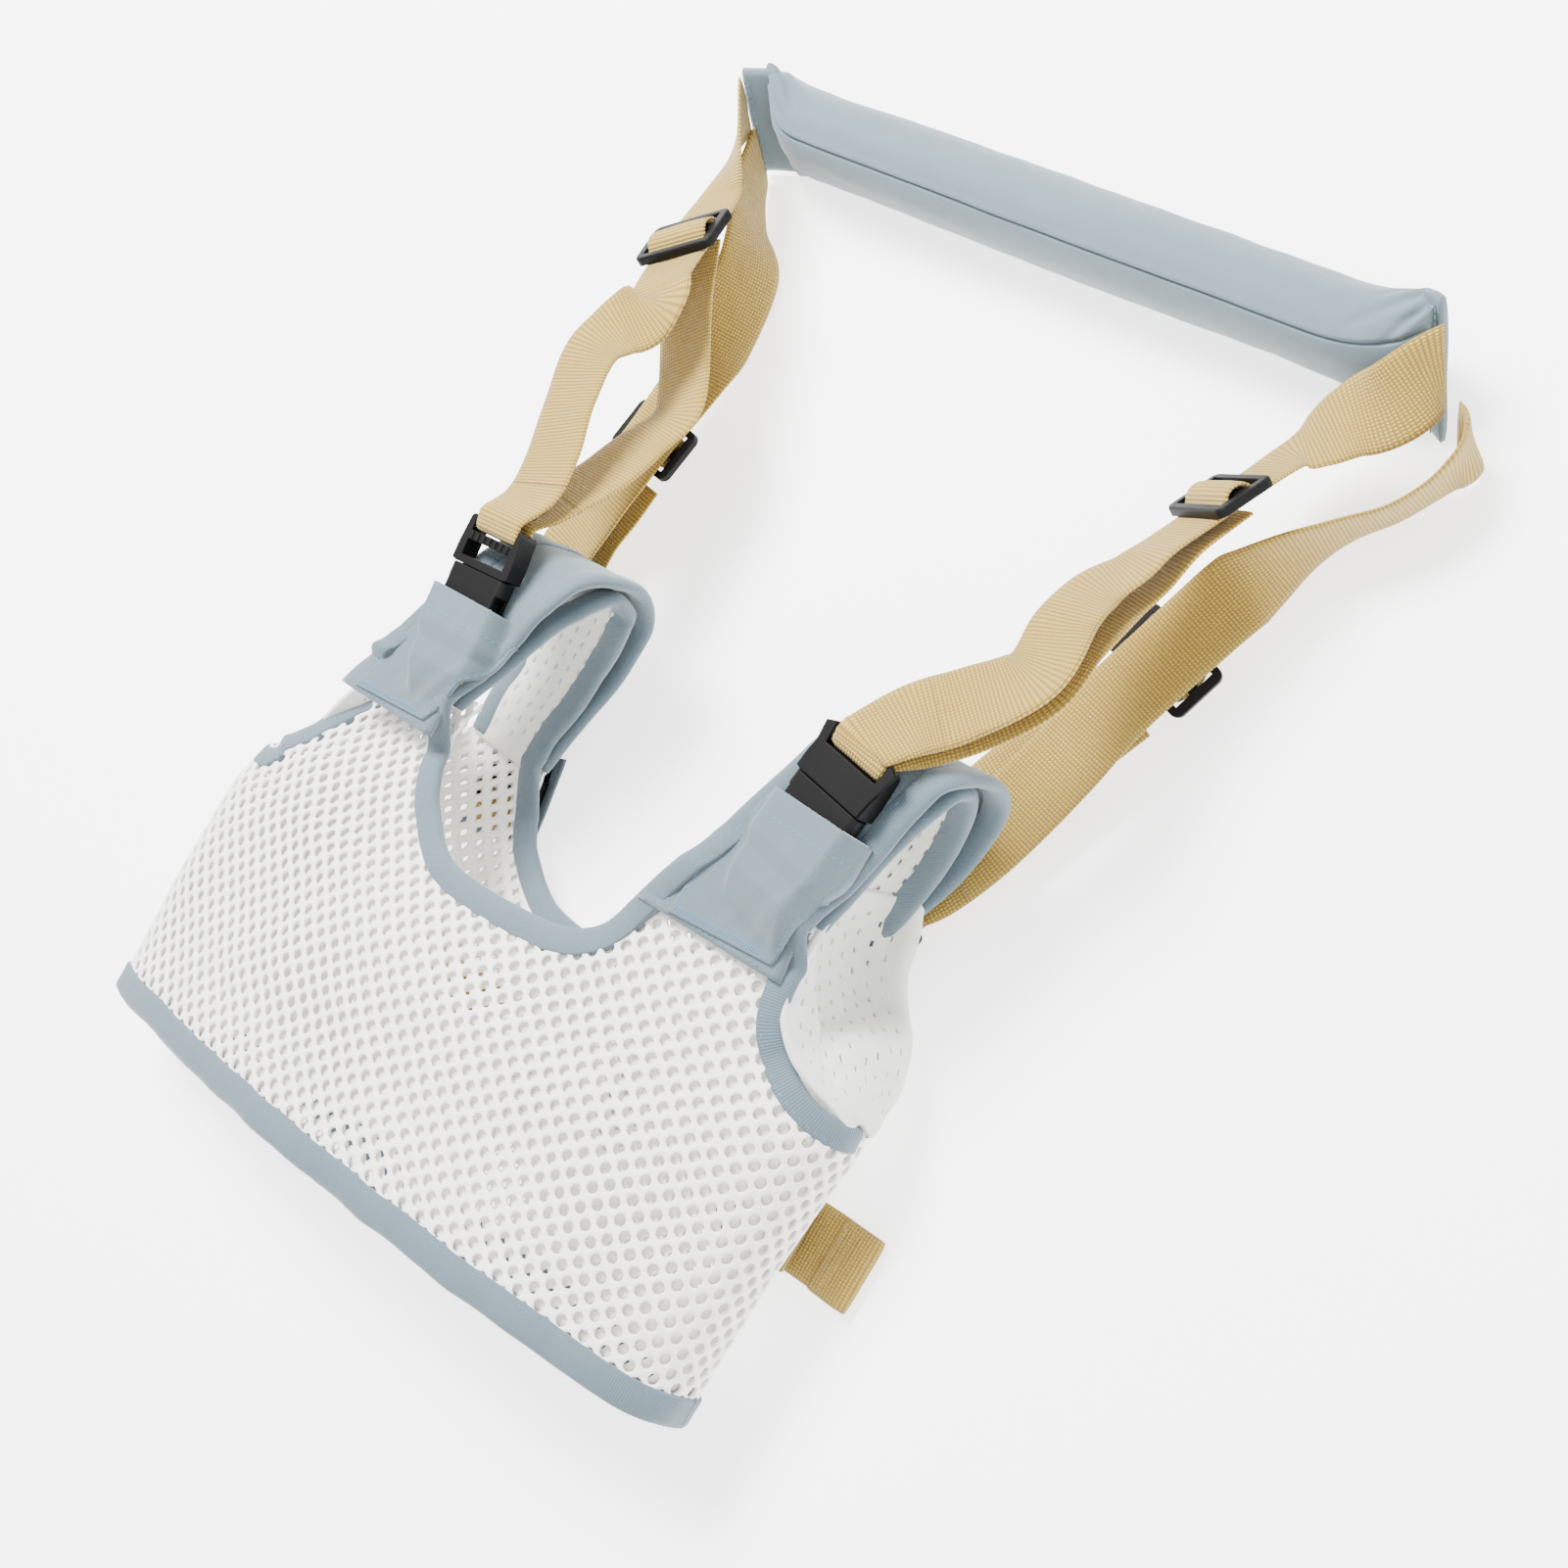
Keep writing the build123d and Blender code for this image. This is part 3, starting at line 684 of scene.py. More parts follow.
for front, label in ((True, "front"), (False, "back")):
    skin = lattice(f"vest_mesh_{label}", front, columns=148, pitch_y=7.0, rows=23,
                   holes=[(2.3, 0.0), (1.85, 0.3)], depths=(0.0, 1.3), inset=2.6)
    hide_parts(f"{label}_panel")
    backing = lattice(f"vest_backing_{label}", front, columns=138, pitch_y=7.5, rows=22,
                      holes=[(1.55, 0.05)], depths=(2.4, 2.9), inset=3.2, sides=6)


# ---- bindings ------------------------------------------------------------------------------
def tape(name, edge, inward, normal, material, width=9.0, thick=4.2, tuck=0.9, closed=False, seed=3):
    """A tape folded over an edge: edge points, the direction into the cloth and its outer normal."""
    edge, inward, normal = (np.asarray(a, float) for a in (edge, inward, normal))
    inward = unit_rows(inward)
    normal = unit_rows(normal - inward * np.sum(inward * normal, axis=1, keepdims=True))
    half = thick / 2
    profile = [(width, half * 0.8), (width - 0.6, half * 0.97), (width * 0.55, half), (2.2, half * 1.04),
               (0.7, half * 0.82), (-0.1, half * 0.4), (-0.35, 0.0), (-0.1, -half * 0.4), (0.7, -half * 0.82),
               (2.2, -half * 1.04), (width * 0.55, -half), (width - 0.6, -half * 0.97), (width, -half * 0.8)]
    step = arc_length(edge)
    points, weave = [], []
    around = np.concatenate([[0], np.cumsum(np.hypot(*np.diff(np.array(profile), axis=0).T))])
    for i in range(len(edge)):
        swell = 1 + 0.10 * noise.noise(Vector((step[i] / 9, seed, 0)))
        for k, (a, h) in enumerate(profile):
            crease = 0.18 * noise.noise(Vector((step[i] / 5, k * 0.7, seed * 2.0)))
            points.append(edge[i] + inward[i] * a + normal[i] * (h * swell + crease) - normal[i] * tuck)
            weave.append((around[k], step[i]))
    m, n = len(profile), len(edge)
    faces = []
    last = n if closed else n - 1
    for i in range(last):
        j = (i + 1) % n
        for k in range(m):
            l = (k + 1) % m
            faces.append((i * m + k, j * m + k, j * m + l, i * m + l))
    if not closed:
        faces.append(tuple(range(m)))
        faces.append(tuple(reversed([(n - 1) * m + k for k in range(m)])))
    obj = piece(name, points, faces, material, weave)
    bm_fix(obj)
    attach(obj, "vest")
    row_at = edge + inward * (width - 1.6) + normal * (half * 0.9 - tuck)
    return obj, (row_at, normal)


def bm_fix(obj):
    """Faces look outwards."""
    bm = bmesh.new()
    bm.from_mesh(obj.data)
    bmesh.ops.recalc_face_normals(bm, faces=bm.faces)
    bm.to_mesh(obj.data)
    bm.free()


def panel_edge(line, front, side, tail=()):
    """Edge points, inward directions and normals along an opening of the vest.

    side is 1 where the cloth lies to the left of the line, seen from outside, and -1 to the right.
    tail carries the edge on round a side fold, as (turn, y)."""
    flat = smooth_line(line)
    path = [(turn_at(x, y, front), y) for x, y in flat[::3]] + list(tail)
    path = curve_through([(t * LOOP_MM, y, 0) for t, y in path], 1.5)
    edge, normal = tube(path[:, 0] / LOOP_MM, path[:, 1], 1.5)
    along = unit_rows(np.gradient(edge, axis=0))
    inward = np.cross(normal, along) * side
    return edge, inward, normal


def tidy(rows, spacing=1.6):
    """Joins and smooths rows of (edge, inward, normal)."""
    joined = np.hstack([np.vstack([r[k] for r in rows]) for k in range(3)])
    keep = [0]
    for i in range(1, len(joined)):
        if np.linalg.norm(joined[i, :3] - joined[keep[-1], :3]) > 0.8:
            keep.append(i)
    smooth = curve_through(joined[keep][::3], spacing)
    return smooth[:, :3], smooth[:, 3:6], smooth[:, 6:9]


hem_t = np.linspace(0, 1, STEPS_T, endpoint=False)
hem_wave = np.array([0.7 * noise.noise(Vector((math.cos(a) * 6, math.sin(a) * 6, 2.0)))
                     for a in 2 * math.pi * hem_t])
hem_edge, hem_normal = tube(hem_t, HEM_Y + 0.6 + hem_wave, 1.5)
hem_in = unit_rows(tube(hem_t, HEM_Y + 10.6 + hem_wave, 1.5)[0] - hem_edge)
hem, hem_row = tape("hem_binding", hem_edge, hem_in, hem_normal, MAT["tape"], closed=True, width=10.4,
                    thick=4.6, tuck=-0.3)
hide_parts("hem_binding_front", "hem_binding_back")
seams = [hem_row]

# ---- shoulder straps -----------------------------------------------------------------------
# Middle of each strap from chest to back, over the shoulder: (x, y, z, width).
SHOULDER = {
    "right": [(55.6, -70, 64.2, 58), (58.8, -58, 65.6, 51.5), (65.6, -43, 67.0, 47),
              (75.4, -19, 69.5, 42.5), (80, -5, 70.3, 41), (84, 6, 66.5, 40), (87.5, 11.5, 57, 40),
              (88, 12.5, 46, 40), (86, 9, 35, 40), (82, 1, 27, 40), (76, -12, 20, 40), (68, -28, 16, 40),
              (60, -50, 13.5, 40)],
    "left": [(-102.6, -62.5, 63.4, 52), (-99.2, -54, 65.0, 49), (-92.8, -43, 66.6, 46),
             (-80.3, -19, 69.5, 41.5), (-74, -5, 70.3, 40.5), (-67, 7, 66.5, 40), (-63, 12, 57, 40),
             (-63, 13, 46, 40), (-65, 9, 35, 40), (-69, 1, 27, 40), (-74, -12, 20, 40), (-80, -28, 16, 40),
             (-86, -50, 13.5, 40)],
}
ACROSS = {"right": (1, 0, -0.1), "left": (1, 0, 0.1)}
# Middle of each lining: (x, y, z).
PAD = {
    "right": [(68, -50, 60.5), (71, -38, 60.5), (75, -20, 60.5), (79, -6, 59), (82, 3, 55.5), (83, 6.5, 51),
              (82.5, 5.5, 46), (80, -1, 38), (76, -12, 30), (70, -27, 23), (64, -42, 19), (60, -56, 17)],
    "left": [(-93, -50, 60.5), (-88, -38, 60.5), (-80, -20, 60.5), (-73, -6, 59), (-66, 3.5, 55.5),
             (-63.5, 7.5, 51), (-64, 6.5, 46), (-68, -1, 38), (-74, -12, 30), (-80, -27, 22.5),
             (-85, -42, 19), (-86, -57, 17)],
}
PAD_W = 38.0
# Above this z a strap lies on the chest.
CHEST_SIDE_Z = 58


def strap_rows(path, across, spacing=1.6):
    """Centres, directions across, outward normals and widths of a strap whose chest end is cut level."""
    fine = curve_through(path, spacing)
    centres = fine[:, :3]
    level = np.tile(np.array(across, float) / np.linalg.norm(across), (len(fine), 1))
    along, square, normal = frames(centres, level)
    turn = np.where(centres[:, 2] > CHEST_SIDE_Z, np.clip((centres[:, 1] + 45) / 30, 0, 1), 1.0)[:, None]
    wide = unit_rows(level * (1 - turn) + square * turn)
    normal = unit_rows(np.cross(along, wide))
    widths = fine[:, 3] if fine.shape[1] > 3 else np.full(len(fine), PAD_W)
    return centres, wide, normal * (1 if normal[0][2] > 0 else -1), widths


def edges_of(rows, side):
    """One long edge of a strap, as tape rows."""
    centres, wide, normal, widths = rows
    return centres + wide * side * (widths[:, None] / 2), wide * -side, normal


def grid_mesh(name, outer, inner, material, weave_mm, holes=None):
    """Closed sheet between two grids of points, with optional slits left out."""
    n, m = outer.shape[:2]
    total = n * m
    points = np.vstack([outer.reshape(-1, 3), inner.reshape(-1, 3)])
    uu, vv = np.meshgrid(np.linspace(0, weave_mm[0], m), np.linspace(0, weave_mm[1], n))
    weave = np.column_stack([uu.ravel(), vv.ravel()])
    skip = holes if holes is not None else np.zeros((n - 1, m - 1), bool)
    faces, used = [], {}
    for i in range(n - 1):
        for k in range(m - 1):
            if skip[i, k]:
                continue
            a = i * m + k
            loop = (a, a + 1, a + m + 1, a + m)
            faces.append(loop)
            faces.append(tuple(total + x for x in reversed(loop)))
            for x, y in zip(loop, loop[1:] + loop[:1]):
                used[(x, y)] = True
    for x, y in list(used):
        if (y, x) not in used:
            faces.append((y, x, total + x, total + y))
    obj = piece(name, points, faces, material, np.vstack([weave, weave]))
    bm_fix(obj)
    return obj


def grid_normals(grid):
    """Unit normals of a grid of points."""
    up = np.cross(np.gradient(grid, axis=1), np.gradient(grid, axis=0))
    return up / np.maximum(np.linalg.norm(up, axis=2, keepdims=True), 1e-9)


def slits(n, m, long_pitch=5, wide_pitch=5, margin=4):
    """Rows of short slits, staggered from column to column."""
    out = np.zeros((n - 1, m - 1), bool)
    for number, k in enumerate(range(margin, m - 1 - margin, wide_pitch)):
        for i in range(margin + (number % 2) * 3, n - 2 - margin, long_pitch):
            out[i:i + 2, k] = True
    return out


shell_rows, pad_rows, shell_top = {}, {}, {}
for hand in ("left", "right"):
    rows = strap_rows(SHOULDER[hand], ACROSS[hand])
    shell_rows[hand] = rows
    points, faces, weave = band_mesh(*rows[:3], rows[3] - 1.5, 2.4, cols=16, wave=0.7, seed=11)
    shell_top[hand] = BVHTree.FromPolygons([tuple(p) for p in points], faces)
    shell = piece(f"shoulder_strap_{hand}", points, faces, MAT["twill"], weave)
    bm_fix(shell)
    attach(shell, "vest")
    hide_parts(f"shoulder_shell_{hand}", f"front_yoke_{hand}")
    rows = strap_rows(PAD[hand], ACROSS[hand], 1.25)
    pad_rows[hand] = rows
    across_at = np.linspace(-1, 1, 38)
    top, under = [], []
    for i in range(len(rows[0])):
        crown = [(1.6 * (1 - abs(x) ** 5) + 0.5 + 0.5 * noise.noise(Vector((i / 7, x * 2.2, 17))))
                 for x in across_at]
        spine = rows[0][i] + np.outer(across_at * (PAD_W - 2) / 2, rows[1][i])
        top.append(spine + np.outer(crown, rows[2][i]))
        under.append(spine - np.outer(crown, rows[2][i]))
    top, under = np.array(top), np.array(under)
    pad = grid_mesh(f"strap_lining_{hand}", top, under, MAT["lining"], (36, 1.25 * len(top)),
                    slits(*top.shape[:2]))
    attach(pad, "vest")
    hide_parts(f"shoulder_pad_{hand}")


def above(rows, y):
    """A strap edge without the stretch of its chest side that lies below y."""
    keep = ~((rows[0][:, 1] < y) & (rows[0][:, 2] > 50))
    return tuple(r[keep] for r in rows)


def flip(rows):
    """A strap edge run the other way."""
    return tuple(r[::-1] for r in rows)


def raised(rows, low, high, amount=2.3):
    """Lifts a tape where it runs over the foot of a chest yoke."""
    edge, inward, normal = rows
    at = np.clip((edge[:, 1] - low) / (high - low), 0, 1)
    lift = amount * np.sin(math.pi * at) ** 0.7 * (edge[:, 2] > 45)
    return edge + normal * lift[:, None], inward, normal


def binding(name, rows, material, node=None, **options):
    """A tape along rows, standing for a node; returns its row of stitching."""
    obj, seam = tape(name, *rows, material, **options)
    if node:
        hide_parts(node)
    return seam


left_in, left_out = edges_of(shell_rows["left"], 1), edges_of(shell_rows["left"], -1)
right_in, right_out = edges_of(shell_rows["right"], -1), edges_of(shell_rows["right"], 1)
neck = panel_edge(NECK_FRONT[2:-2], True, -1)
arm_right = panel_edge(ARM_RIGHT[1:-1], True, -1, [(0.024, -96), (0.013, -95.8), (0.003, -95.2)])
arm_left = panel_edge(ARM_LEFT[1:-1], True, 1, [(0.478, -97), (0.489, -97.5), (0.499, -97.5)])
left_pad_in, right_pad_in = edges_of(pad_rows["left"], 1), edges_of(pad_rows["right"], -1)
neck_back = panel_edge(NECK_BACK[2:-2], False, 1)
seams += [
    binding("neck_binding", raised(tidy([above(flip(left_in), -52), neck, above(right_in, -54)]), -82, -38),
            MAT["bias"], "neck_binding_front", width=8.6, tuck=0.2),
    binding("armhole_binding_R", raised(tidy([above(flip(right_out), -56), arm_right]), -86, -38, 4.2),
            MAT["tape"], "armhole_binding_right", width=8.6, tuck=0.2, seed=5),
    binding("armhole_binding_L", raised(tidy([above(flip(left_out), -50), arm_left]), -74, -36),
            MAT["tape"], "armhole_binding_left", width=8.6, tuck=0.2, seed=6),
    binding("neck_binding_B", tidy([left_pad_in, neck_back, flip(right_pad_in)]),
            MAT["bias"], "neck_binding_back", width=8.2, tuck=0.0, thick=4.6, seed=7),
]
for hand, side in (("left", -1), ("right", 1)):
    binding(f"pad_binding_{hand}", tidy([edges_of(pad_rows[hand], side)]),
            MAT["bias"], width=8.2, tuck=0.0, thick=4.6, seed=8)
stitches("binding_stitches", seams, "vest", pitch=3.1)

# ---- pockets over the front buckles ------------------------------------------------------------
BUCKLE_AT = {
    "front_left": ((-82.5, -7, 76), (1, 0.05, 0.1), (-0.05, 0.99, 0.1)),
    "front_right": ((76, -14, 75.4), (0.98, -0.2, -0.1), (0.2, 0.97, 0.1)),
    "back_left": ((-89, -47, 5), (0.98, 0.2, 0), (-0.2, 0.98, 0)),
    "back_right": ((68.5, -50.5, 5), (0.954, -0.3, 0), (0.3, 0.954, 0)),
}


def local_axes(place):
    """Centre, across, pull and up of a buckle or slider given as (centre, across, pull)."""
    middle, across, pull = (np.array(v, float) for v in place)
    pull /= np.linalg.norm(pull)
    across = across - pull * across.dot(pull)
    across /= np.linalg.norm(across)
    return middle, across, pull, np.cross(across, pull)


def local_stations(place, run, *share):
    """Stations of a band from (along the pull, height) pairs at a buckle's or slider's place."""
    middle, across, pull, up = local_axes(place)
    return [(tuple(middle + pull * a + up * h), tuple(across), *share) for a, h in run]


SOCKET_HALF_W, SOCKET_TOP = 13.2, 6.3


def over_buckle(x, y, place):
    """Height a pocket needs at (x, y) to lie over a socket and its sewn loop."""
    middle, across, pull, _ = local_axes(place)
    a = ((x - middle[0]) * pull[0] + (y - middle[1]) * pull[1]) / np.hypot(pull[0], pull[1])
    b = abs((x - middle[0]) * across[0] + (y - middle[1]) * across[1])
    past = max(0.0, -34.0 - a)
    beside = max(0.0, b - (SOCKET_HALF_W if a > -24 else SOCKET_HALF_W - 1.6 * min(1.0, (-24 - a) / 3)))
    tall = SOCKET_TOP - 1.3 * min(1.0, max(0.0, (-22.0 - a) / 5))
    return middle[2] + pull[2] * a + tall - 0.35 * past - 0.03 * past ** 2 - 0.7 * beside - 0.2 * beside ** 2


# Rows of (left x, left y, right x, right y) from a pocket's foot to its mouth.
POCKETS = {
    "right": [(40.5, -69.0, 79.5, -66.5), (44.5, -50.0, 86.0, -48.5), (50.0, -35.0, 91.5, -36.5),
              (56.0, -19.5, 94.0, -22.0)],
    "left": [(-119.0, -61.0, -82.0, -59.0), (-110.5, -45.0, -70.0, -44.0), (-104.0, -30.0, -61.0, -30.0),
             (-98.5, -17.0, -59.0, -16.5)],
}
POCKET_COLS = 44
pocket_seams, tacks = [], []
for hand, corners in POCKETS.items():
    rows = shell_rows[hand]
    chest = (rows[0][:, 2] > CHEST_SIDE_Z) & (np.arange(len(rows[0])) < len(rows[0]) / 2)
    spine = rows[0][chest]
    lines = curve_through([(*c, 0) for c in corners], 0.8)
    tilt = ACROSS[hand][2]
    grid = []
    for j, (x0, y0, x1, y1, _) in enumerate(lines):
        f = j / (len(lines) - 1)
        for k in range(POCKET_COLS + 1):
            s = -1 + 2 * k / POCKET_COLS
            x, y = x0 + (x1 - x0) * (s + 1) / 2, y0 + (y1 - y0) * (s + 1) / 2
            middle = [np.interp(y, spine[:, 1], spine[:, c]) for c in (0, 2)]
            # A stiff buckle fills the left two thirds; a fold runs down its right side.
            valley = 0.22 + 0.55 * f
            crease = -0.8 * bell(s - valley, 0.12) * bell(f - 0.36, 0.3)
            ridge = 0.9 * bell(s - valley - 0.24, 0.13) * bell(f - 0.36, 0.3)
            ridge += 0.5 * bell(s - valley + 0.28, 0.16) * bell(f - 0.3, 0.3)
            pucker = noise.noise(Vector((s * 3.1, f * 4.2, 5 if hand == "left" else 9))) * 0.5 * (1 - s * s)
            fall = min(1.0, (1 - abs(s)) / 0.1)
            hit = shell_top[hand].ray_cast(Vector((x, y, 120)), Vector((0, 0, -1)))[0]
            ground = (hit.z if hit and hit.z > 52 else middle[1] + tilt * (x - middle[0])) + 1.3
            need = over_buckle(x, y, BUCKLE_AT[f"front_{hand}"]) + (ridge + max(0.0, pucker)) * 0.6 * fall
            flat = ground + max(0.0, crease * 0.6 + ridge + pucker) * fall * min(1.0, f * 5)
            z = flat + math.log1p(math.exp(min(30.0, (need - flat) / 1.2))) * 1.2 - 0.4
            grid.append((x, y, z))
    grid = np.array(grid).reshape(len(lines), POCKET_COLS + 1, 3)
    up = grid_normals(grid)
    top = int(len(lines) * 0.84)
    thick = np.full((len(lines), 1, 1), 1.1)
    thick[top + 2:] = 1.9
    pocket = grid_mesh(f"pocket_{hand}", grid, grid - up * thick, MAT["twill"], (36, 48))
    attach(pocket, "vest")
    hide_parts(f"buckle_pocket_{hand}")
    pocket_seams.append((grid[top, 1:-1], up[top, 1:-1]))
    for side in (1, POCKET_COLS - 1):
        pocket_seams.append((grid[6:top, side], up[6:top, side]))
    foot, face = grid[3], up[3]
    run = np.linalg.norm(np.diff(foot, axis=0), axis=1).sum()
    for q in np.linspace(0.05, 0.84, int(run / 1.15)):
        p = at_lengths([q * POCKET_COLS], np.arange(POCKET_COLS + 1), foot)[0]
        half = unit_rows((grid[5, POCKET_COLS // 2] - grid[1, POCKET_COLS // 2])[None])[0] * 1.25
        tacks.append((np.array([p - half, p + half]), np.tile(face[POCKET_COLS // 2], (2, 1))))
stitches("pocket_stitches", pocket_seams, "vest", pitch=2.7, length=1.9, radius=0.24)
stitches("pocket_tacks", tacks, "vest", pitch=2.4, length=2.3, radius=0.27)
yoke_seams = []
for hand in ("left", "right"):
    centres, wide, normal, widths = shell_rows[hand]
    for row_at in (1, 3):
        across_at = np.linspace(-0.36, 0.36, 30)[:, None]
        line = centres[row_at] + wide[row_at] * across_at * widths[row_at] + normal[row_at] * 1.25
        yoke_seams.append((line, np.tile(normal[row_at], (30, 1))))
stitches("yoke_stitches", yoke_seams, "vest", pitch=2.7, length=1.9, radius=0.22)


# ---- smooth lining round the armholes ------------------------------------------------------------
def patch(rows, fine):
    """Smooth grid through rows of points."""
    long_way = [curve_through([r[k] for r in rows], 1.0) for k in range(len(rows[0]))]
    count = max(len(c) for c in long_way)
    even = []
    for c in long_way:
        at = np.linspace(0, len(c) - 1, count)
        even.append(at_lengths(at, np.arange(len(c)), c))
    out = []
    for i in range(count):
        line = curve_through([e[i] for e in even], 0.6)
        at = np.linspace(0, len(line) - 1, fine)
        out.append(at_lengths(at, np.arange(len(line)), line))
    return np.array(out)


# Rows from the strap down to the side fold. Each runs from the chest's edge, down a wall, to a rim
# at the back.
CUFF = {
    "right": [
        [(86, -32, 60), (80, -34, 50), (77, -34, 43), (77, -32, 25), (82, -30, 19.5), (86, -29, 18),
         (88, -30, 16)],
        [(86, -46, 61), (78, -50, 50), (73, -48, 44), (74, -44, 24), (82, -38, 17), (87.5, -36, 15.5),
         (89, -38, 13)],
        [(84.5, -58, 60), (80, -60, 47), (75, -58, 42), (76, -54, 22), (84, -50, 16), (90.5, -50, 15),
         (92, -52, 12.5)],
        [(84.5, -70, 59), (86.5, -71, 46), (81, -69, 41), (81, -63, 22), (89, -59, 16), (97, -60, 15),
         (99, -62, 12.5)],
        [(88, -79, 58), (92, -80, 43), (88, -77, 38), (88, -68, 22), (95, -64, 16), (103.5, -67, 16),
         (105.5, -69, 13)],
        [(95, -87, 55), (98, -85, 43.5), (99, -81, 39), (101, -77, 34), (106, -74, 28), (110, -77, 21),
         (111, -79, 17)],
        [(103, -92, 50), (103, -89, 43), (103.5, -86, 38), (106, -83, 33), (109.5, -82, 28),
         (112.5, -85, 23), (113.5, -87, 20)],
        [(110, -95, 44), (110, -93, 40), (110.5, -91, 37), (112, -90, 34), (113.5, -91, 31), (115, -93, 28),
         (116, -95, 26)],
        [(114, -98, 37), (114, -96.5, 35), (114.3, -95.5, 34), (115, -95, 33), (115.6, -96, 31),
         (116, -97, 29), (116.5, -98, 28)],
    ],
    "left": [
        [(-119, -50, 57), (-112, -50, 46), (-110, -48, 28), (-112, -44, 17), (-116, -47, 13)],
        [(-128, -61, 52), (-121, -60, 40), (-116, -55, 23), (-121, -51, 14), (-125, -54, 12)],
        [(-138, -72, 46), (-130, -70, 36), (-124, -63, 21), (-131, -59, 13.5), (-135, -62, 12)],
        [(-147, -82, 40), (-140, -80, 34), (-134, -72, 21), (-142, -68, 14.0), (-146, -71, 13)],
        [(-155, -90, 36), (-149, -87, 32), (-145, -80, 24), (-152, -77, 18.0), (-156, -81, 16)],
        [(-162, -95, 33), (-157, -93, 31), (-154, -88, 28), (-159, -87, 24.0), (-162, -91, 22)],
        [(-168, -98, 31), (-164, -97, 30), (-162, -94, 29), (-165, -93, 28.0), (-168, -96, 27)],
    ],
}
CUFF_T = 2.2
for hand, rows in CUFF.items():
    outer = patch(rows, 64)
    n, m = outer.shape[:2]
    for i in range(n):
        for k in range(m):
            edge = min(1.0, k / 6, (m - 1 - k) / 3)
            q = Vector(outer[i, k])
            swell = noise.noise(q / 9) * 1.3 + noise.noise(q / 4) * 0.35
            outer[i, k] += np.array([0.5, 0.3, 0.8]) * swell * edge
    back = CUFF_T if hand == "left" else -CUFF_T
    cuff = grid_mesh(f"armhole_cuff_{hand}", outer, outer + grid_normals(outer) * back, MAT["lining"],
                     (60, n), slits(n, m, 7, 6, 7))
    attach(cuff, "vest")
    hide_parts(f"armhole_lining_{hand}")

# ---- lifting straps ------------------------------------------------------------------------------
WEB_W, WEB_T = 25.0, 1.5
# Upper and return runs of each strap from the handle to its plug: (centre, across).
STRAP_A = {
    "front_left": [
        ((-122.5, 181.5, 34), (0.08, 0.45, 0.89)), ((-117.5, 166, 33.5), (0.58, 0.28, 0.76)),
        ((-114, 153, 33.4), (0.8, 0.38, 0.44)), ((-111.1, 144.6, 35.7), (0.88, 0.38, 0.25)),
        ((-103, 126, 47), (0.9, 0.38, 0.2)), ((-95.7, 109.5, 56.8), (0.9, 0.38, 0.2)),
        ((-90.5, 102, 59.5), (0.87, 0.42, 0.1)), ((-92, 95, 61), (0.87, 0.25, -0.25)),
        ((-97, 86, 63), (0.95, 0.1, -0.1)), ((-99, 75, 66), (0.98, 0.1, 0.1)),
        ((-94, 56, 68.5), (0.93, 0.3, 0.2)), ((-87, 37, 70.5), (0.94, 0.29, 0.17)),
        ((-83.5, 23, 74), (0.95, 0.2, 0.15)),
    ],
    "front_right": [
        ((156.6, 182.5, 32), (0.16, -0.61, -0.77)), ((149, 167, 32), (0.77, -0.39, -0.5)),
        ((139, 157, 30.5), (0.92, -0.3, 0.1)), ((132, 147, 29.3), (0.9, 0, 0.4)),
        ((126.8, 138.5, 30.6), (0.83, 0.07, 0.55)), ((121, 118, 40), (0.81, 0.07, 0.58)),
        ((115, 97, 49.7), (0.81, 0.07, 0.58)), ((112, 87, 52.4), (0.86, 0.04, 0.5)),
        ((107, 76, 55.5), (0.93, 0.15, 0.3)), ((106, 64, 60), (0.95, 0.2, 0.25)),
        ((108, 45, 65), (0.96, -0.14, 0.25)), ((96, 28, 69.5), (0.99, -0.13, 0)),
        ((86.5, 17, 73.5), (0.98, -0.17, -0.05)),
    ],
    "back_left": [
        ((-124, 174, 13), (-0.08, -0.4, -0.91)), ((-119, 161, 14), (-0.16, 0.1, -0.98)),
        ((-112, 150, 14), (-0.2, 0.27, -0.93)), ((-101, 133, 14), (0.38, 0.3, -0.85)),
        ((-96, 108, 16), (0.7, 0.1, -0.6)), ((-93.4, 90, 19), (0.95, -0.05, -0.1)),
        ((-96, 64, 21), (0.98, -0.15, 0.1)), ((-99.5, 40.5, 22.1), (0.98, -0.15, 0.1)),
        ((-103, 28, 20), (0.98, -0.1, 0.1)), ((-107, 12, 17), (0.98, 0.02, 0.05)),
        ((-103, -6, 13), (0.98, 0.12, 0)), ((-96, -21, 9), (0.98, 0.18, 0)),
    ],
    "back_right": [
        ((162, 171, 11.6), (-0.05, -0.4, -0.9)), ((166, 171, 12.4), (-0.1, -0.2, -0.97)),
        ((169.5, 167, 13), (0, 0, -1)), ((169, 159, 15), (-0.1, 0.1, -0.99)),
        ((165, 150, 15), (-0.2, 0.1, -0.97)), ((158, 140, 15), (-0.2, 0.1, -0.97)),
        ((148, 130, 16), (-0.1, 0.1, -0.98)), ((139, 118, 17), (0.2, 0.1, -0.95)),
        ((132, 106, 17), (0.6, 0, -0.8)), ((127, 96, 17), (0.87, -0.25, -0.35)),
        ((118, 72, 17), (0.9, -0.32, -0.2)), ((110.5, 51, 16.8), (0.9, -0.35, -0.2)),
        ((105, 32, 15), (0.9, -0.35, -0.25)), ((98, 10, 14), (0.82, -0.42, -0.35)),
        ((91, -8, 13), (0.88, -0.36, -0.25)), ((80.5, -24, 9), (0.94, -0.32, -0.05)),
    ],
}
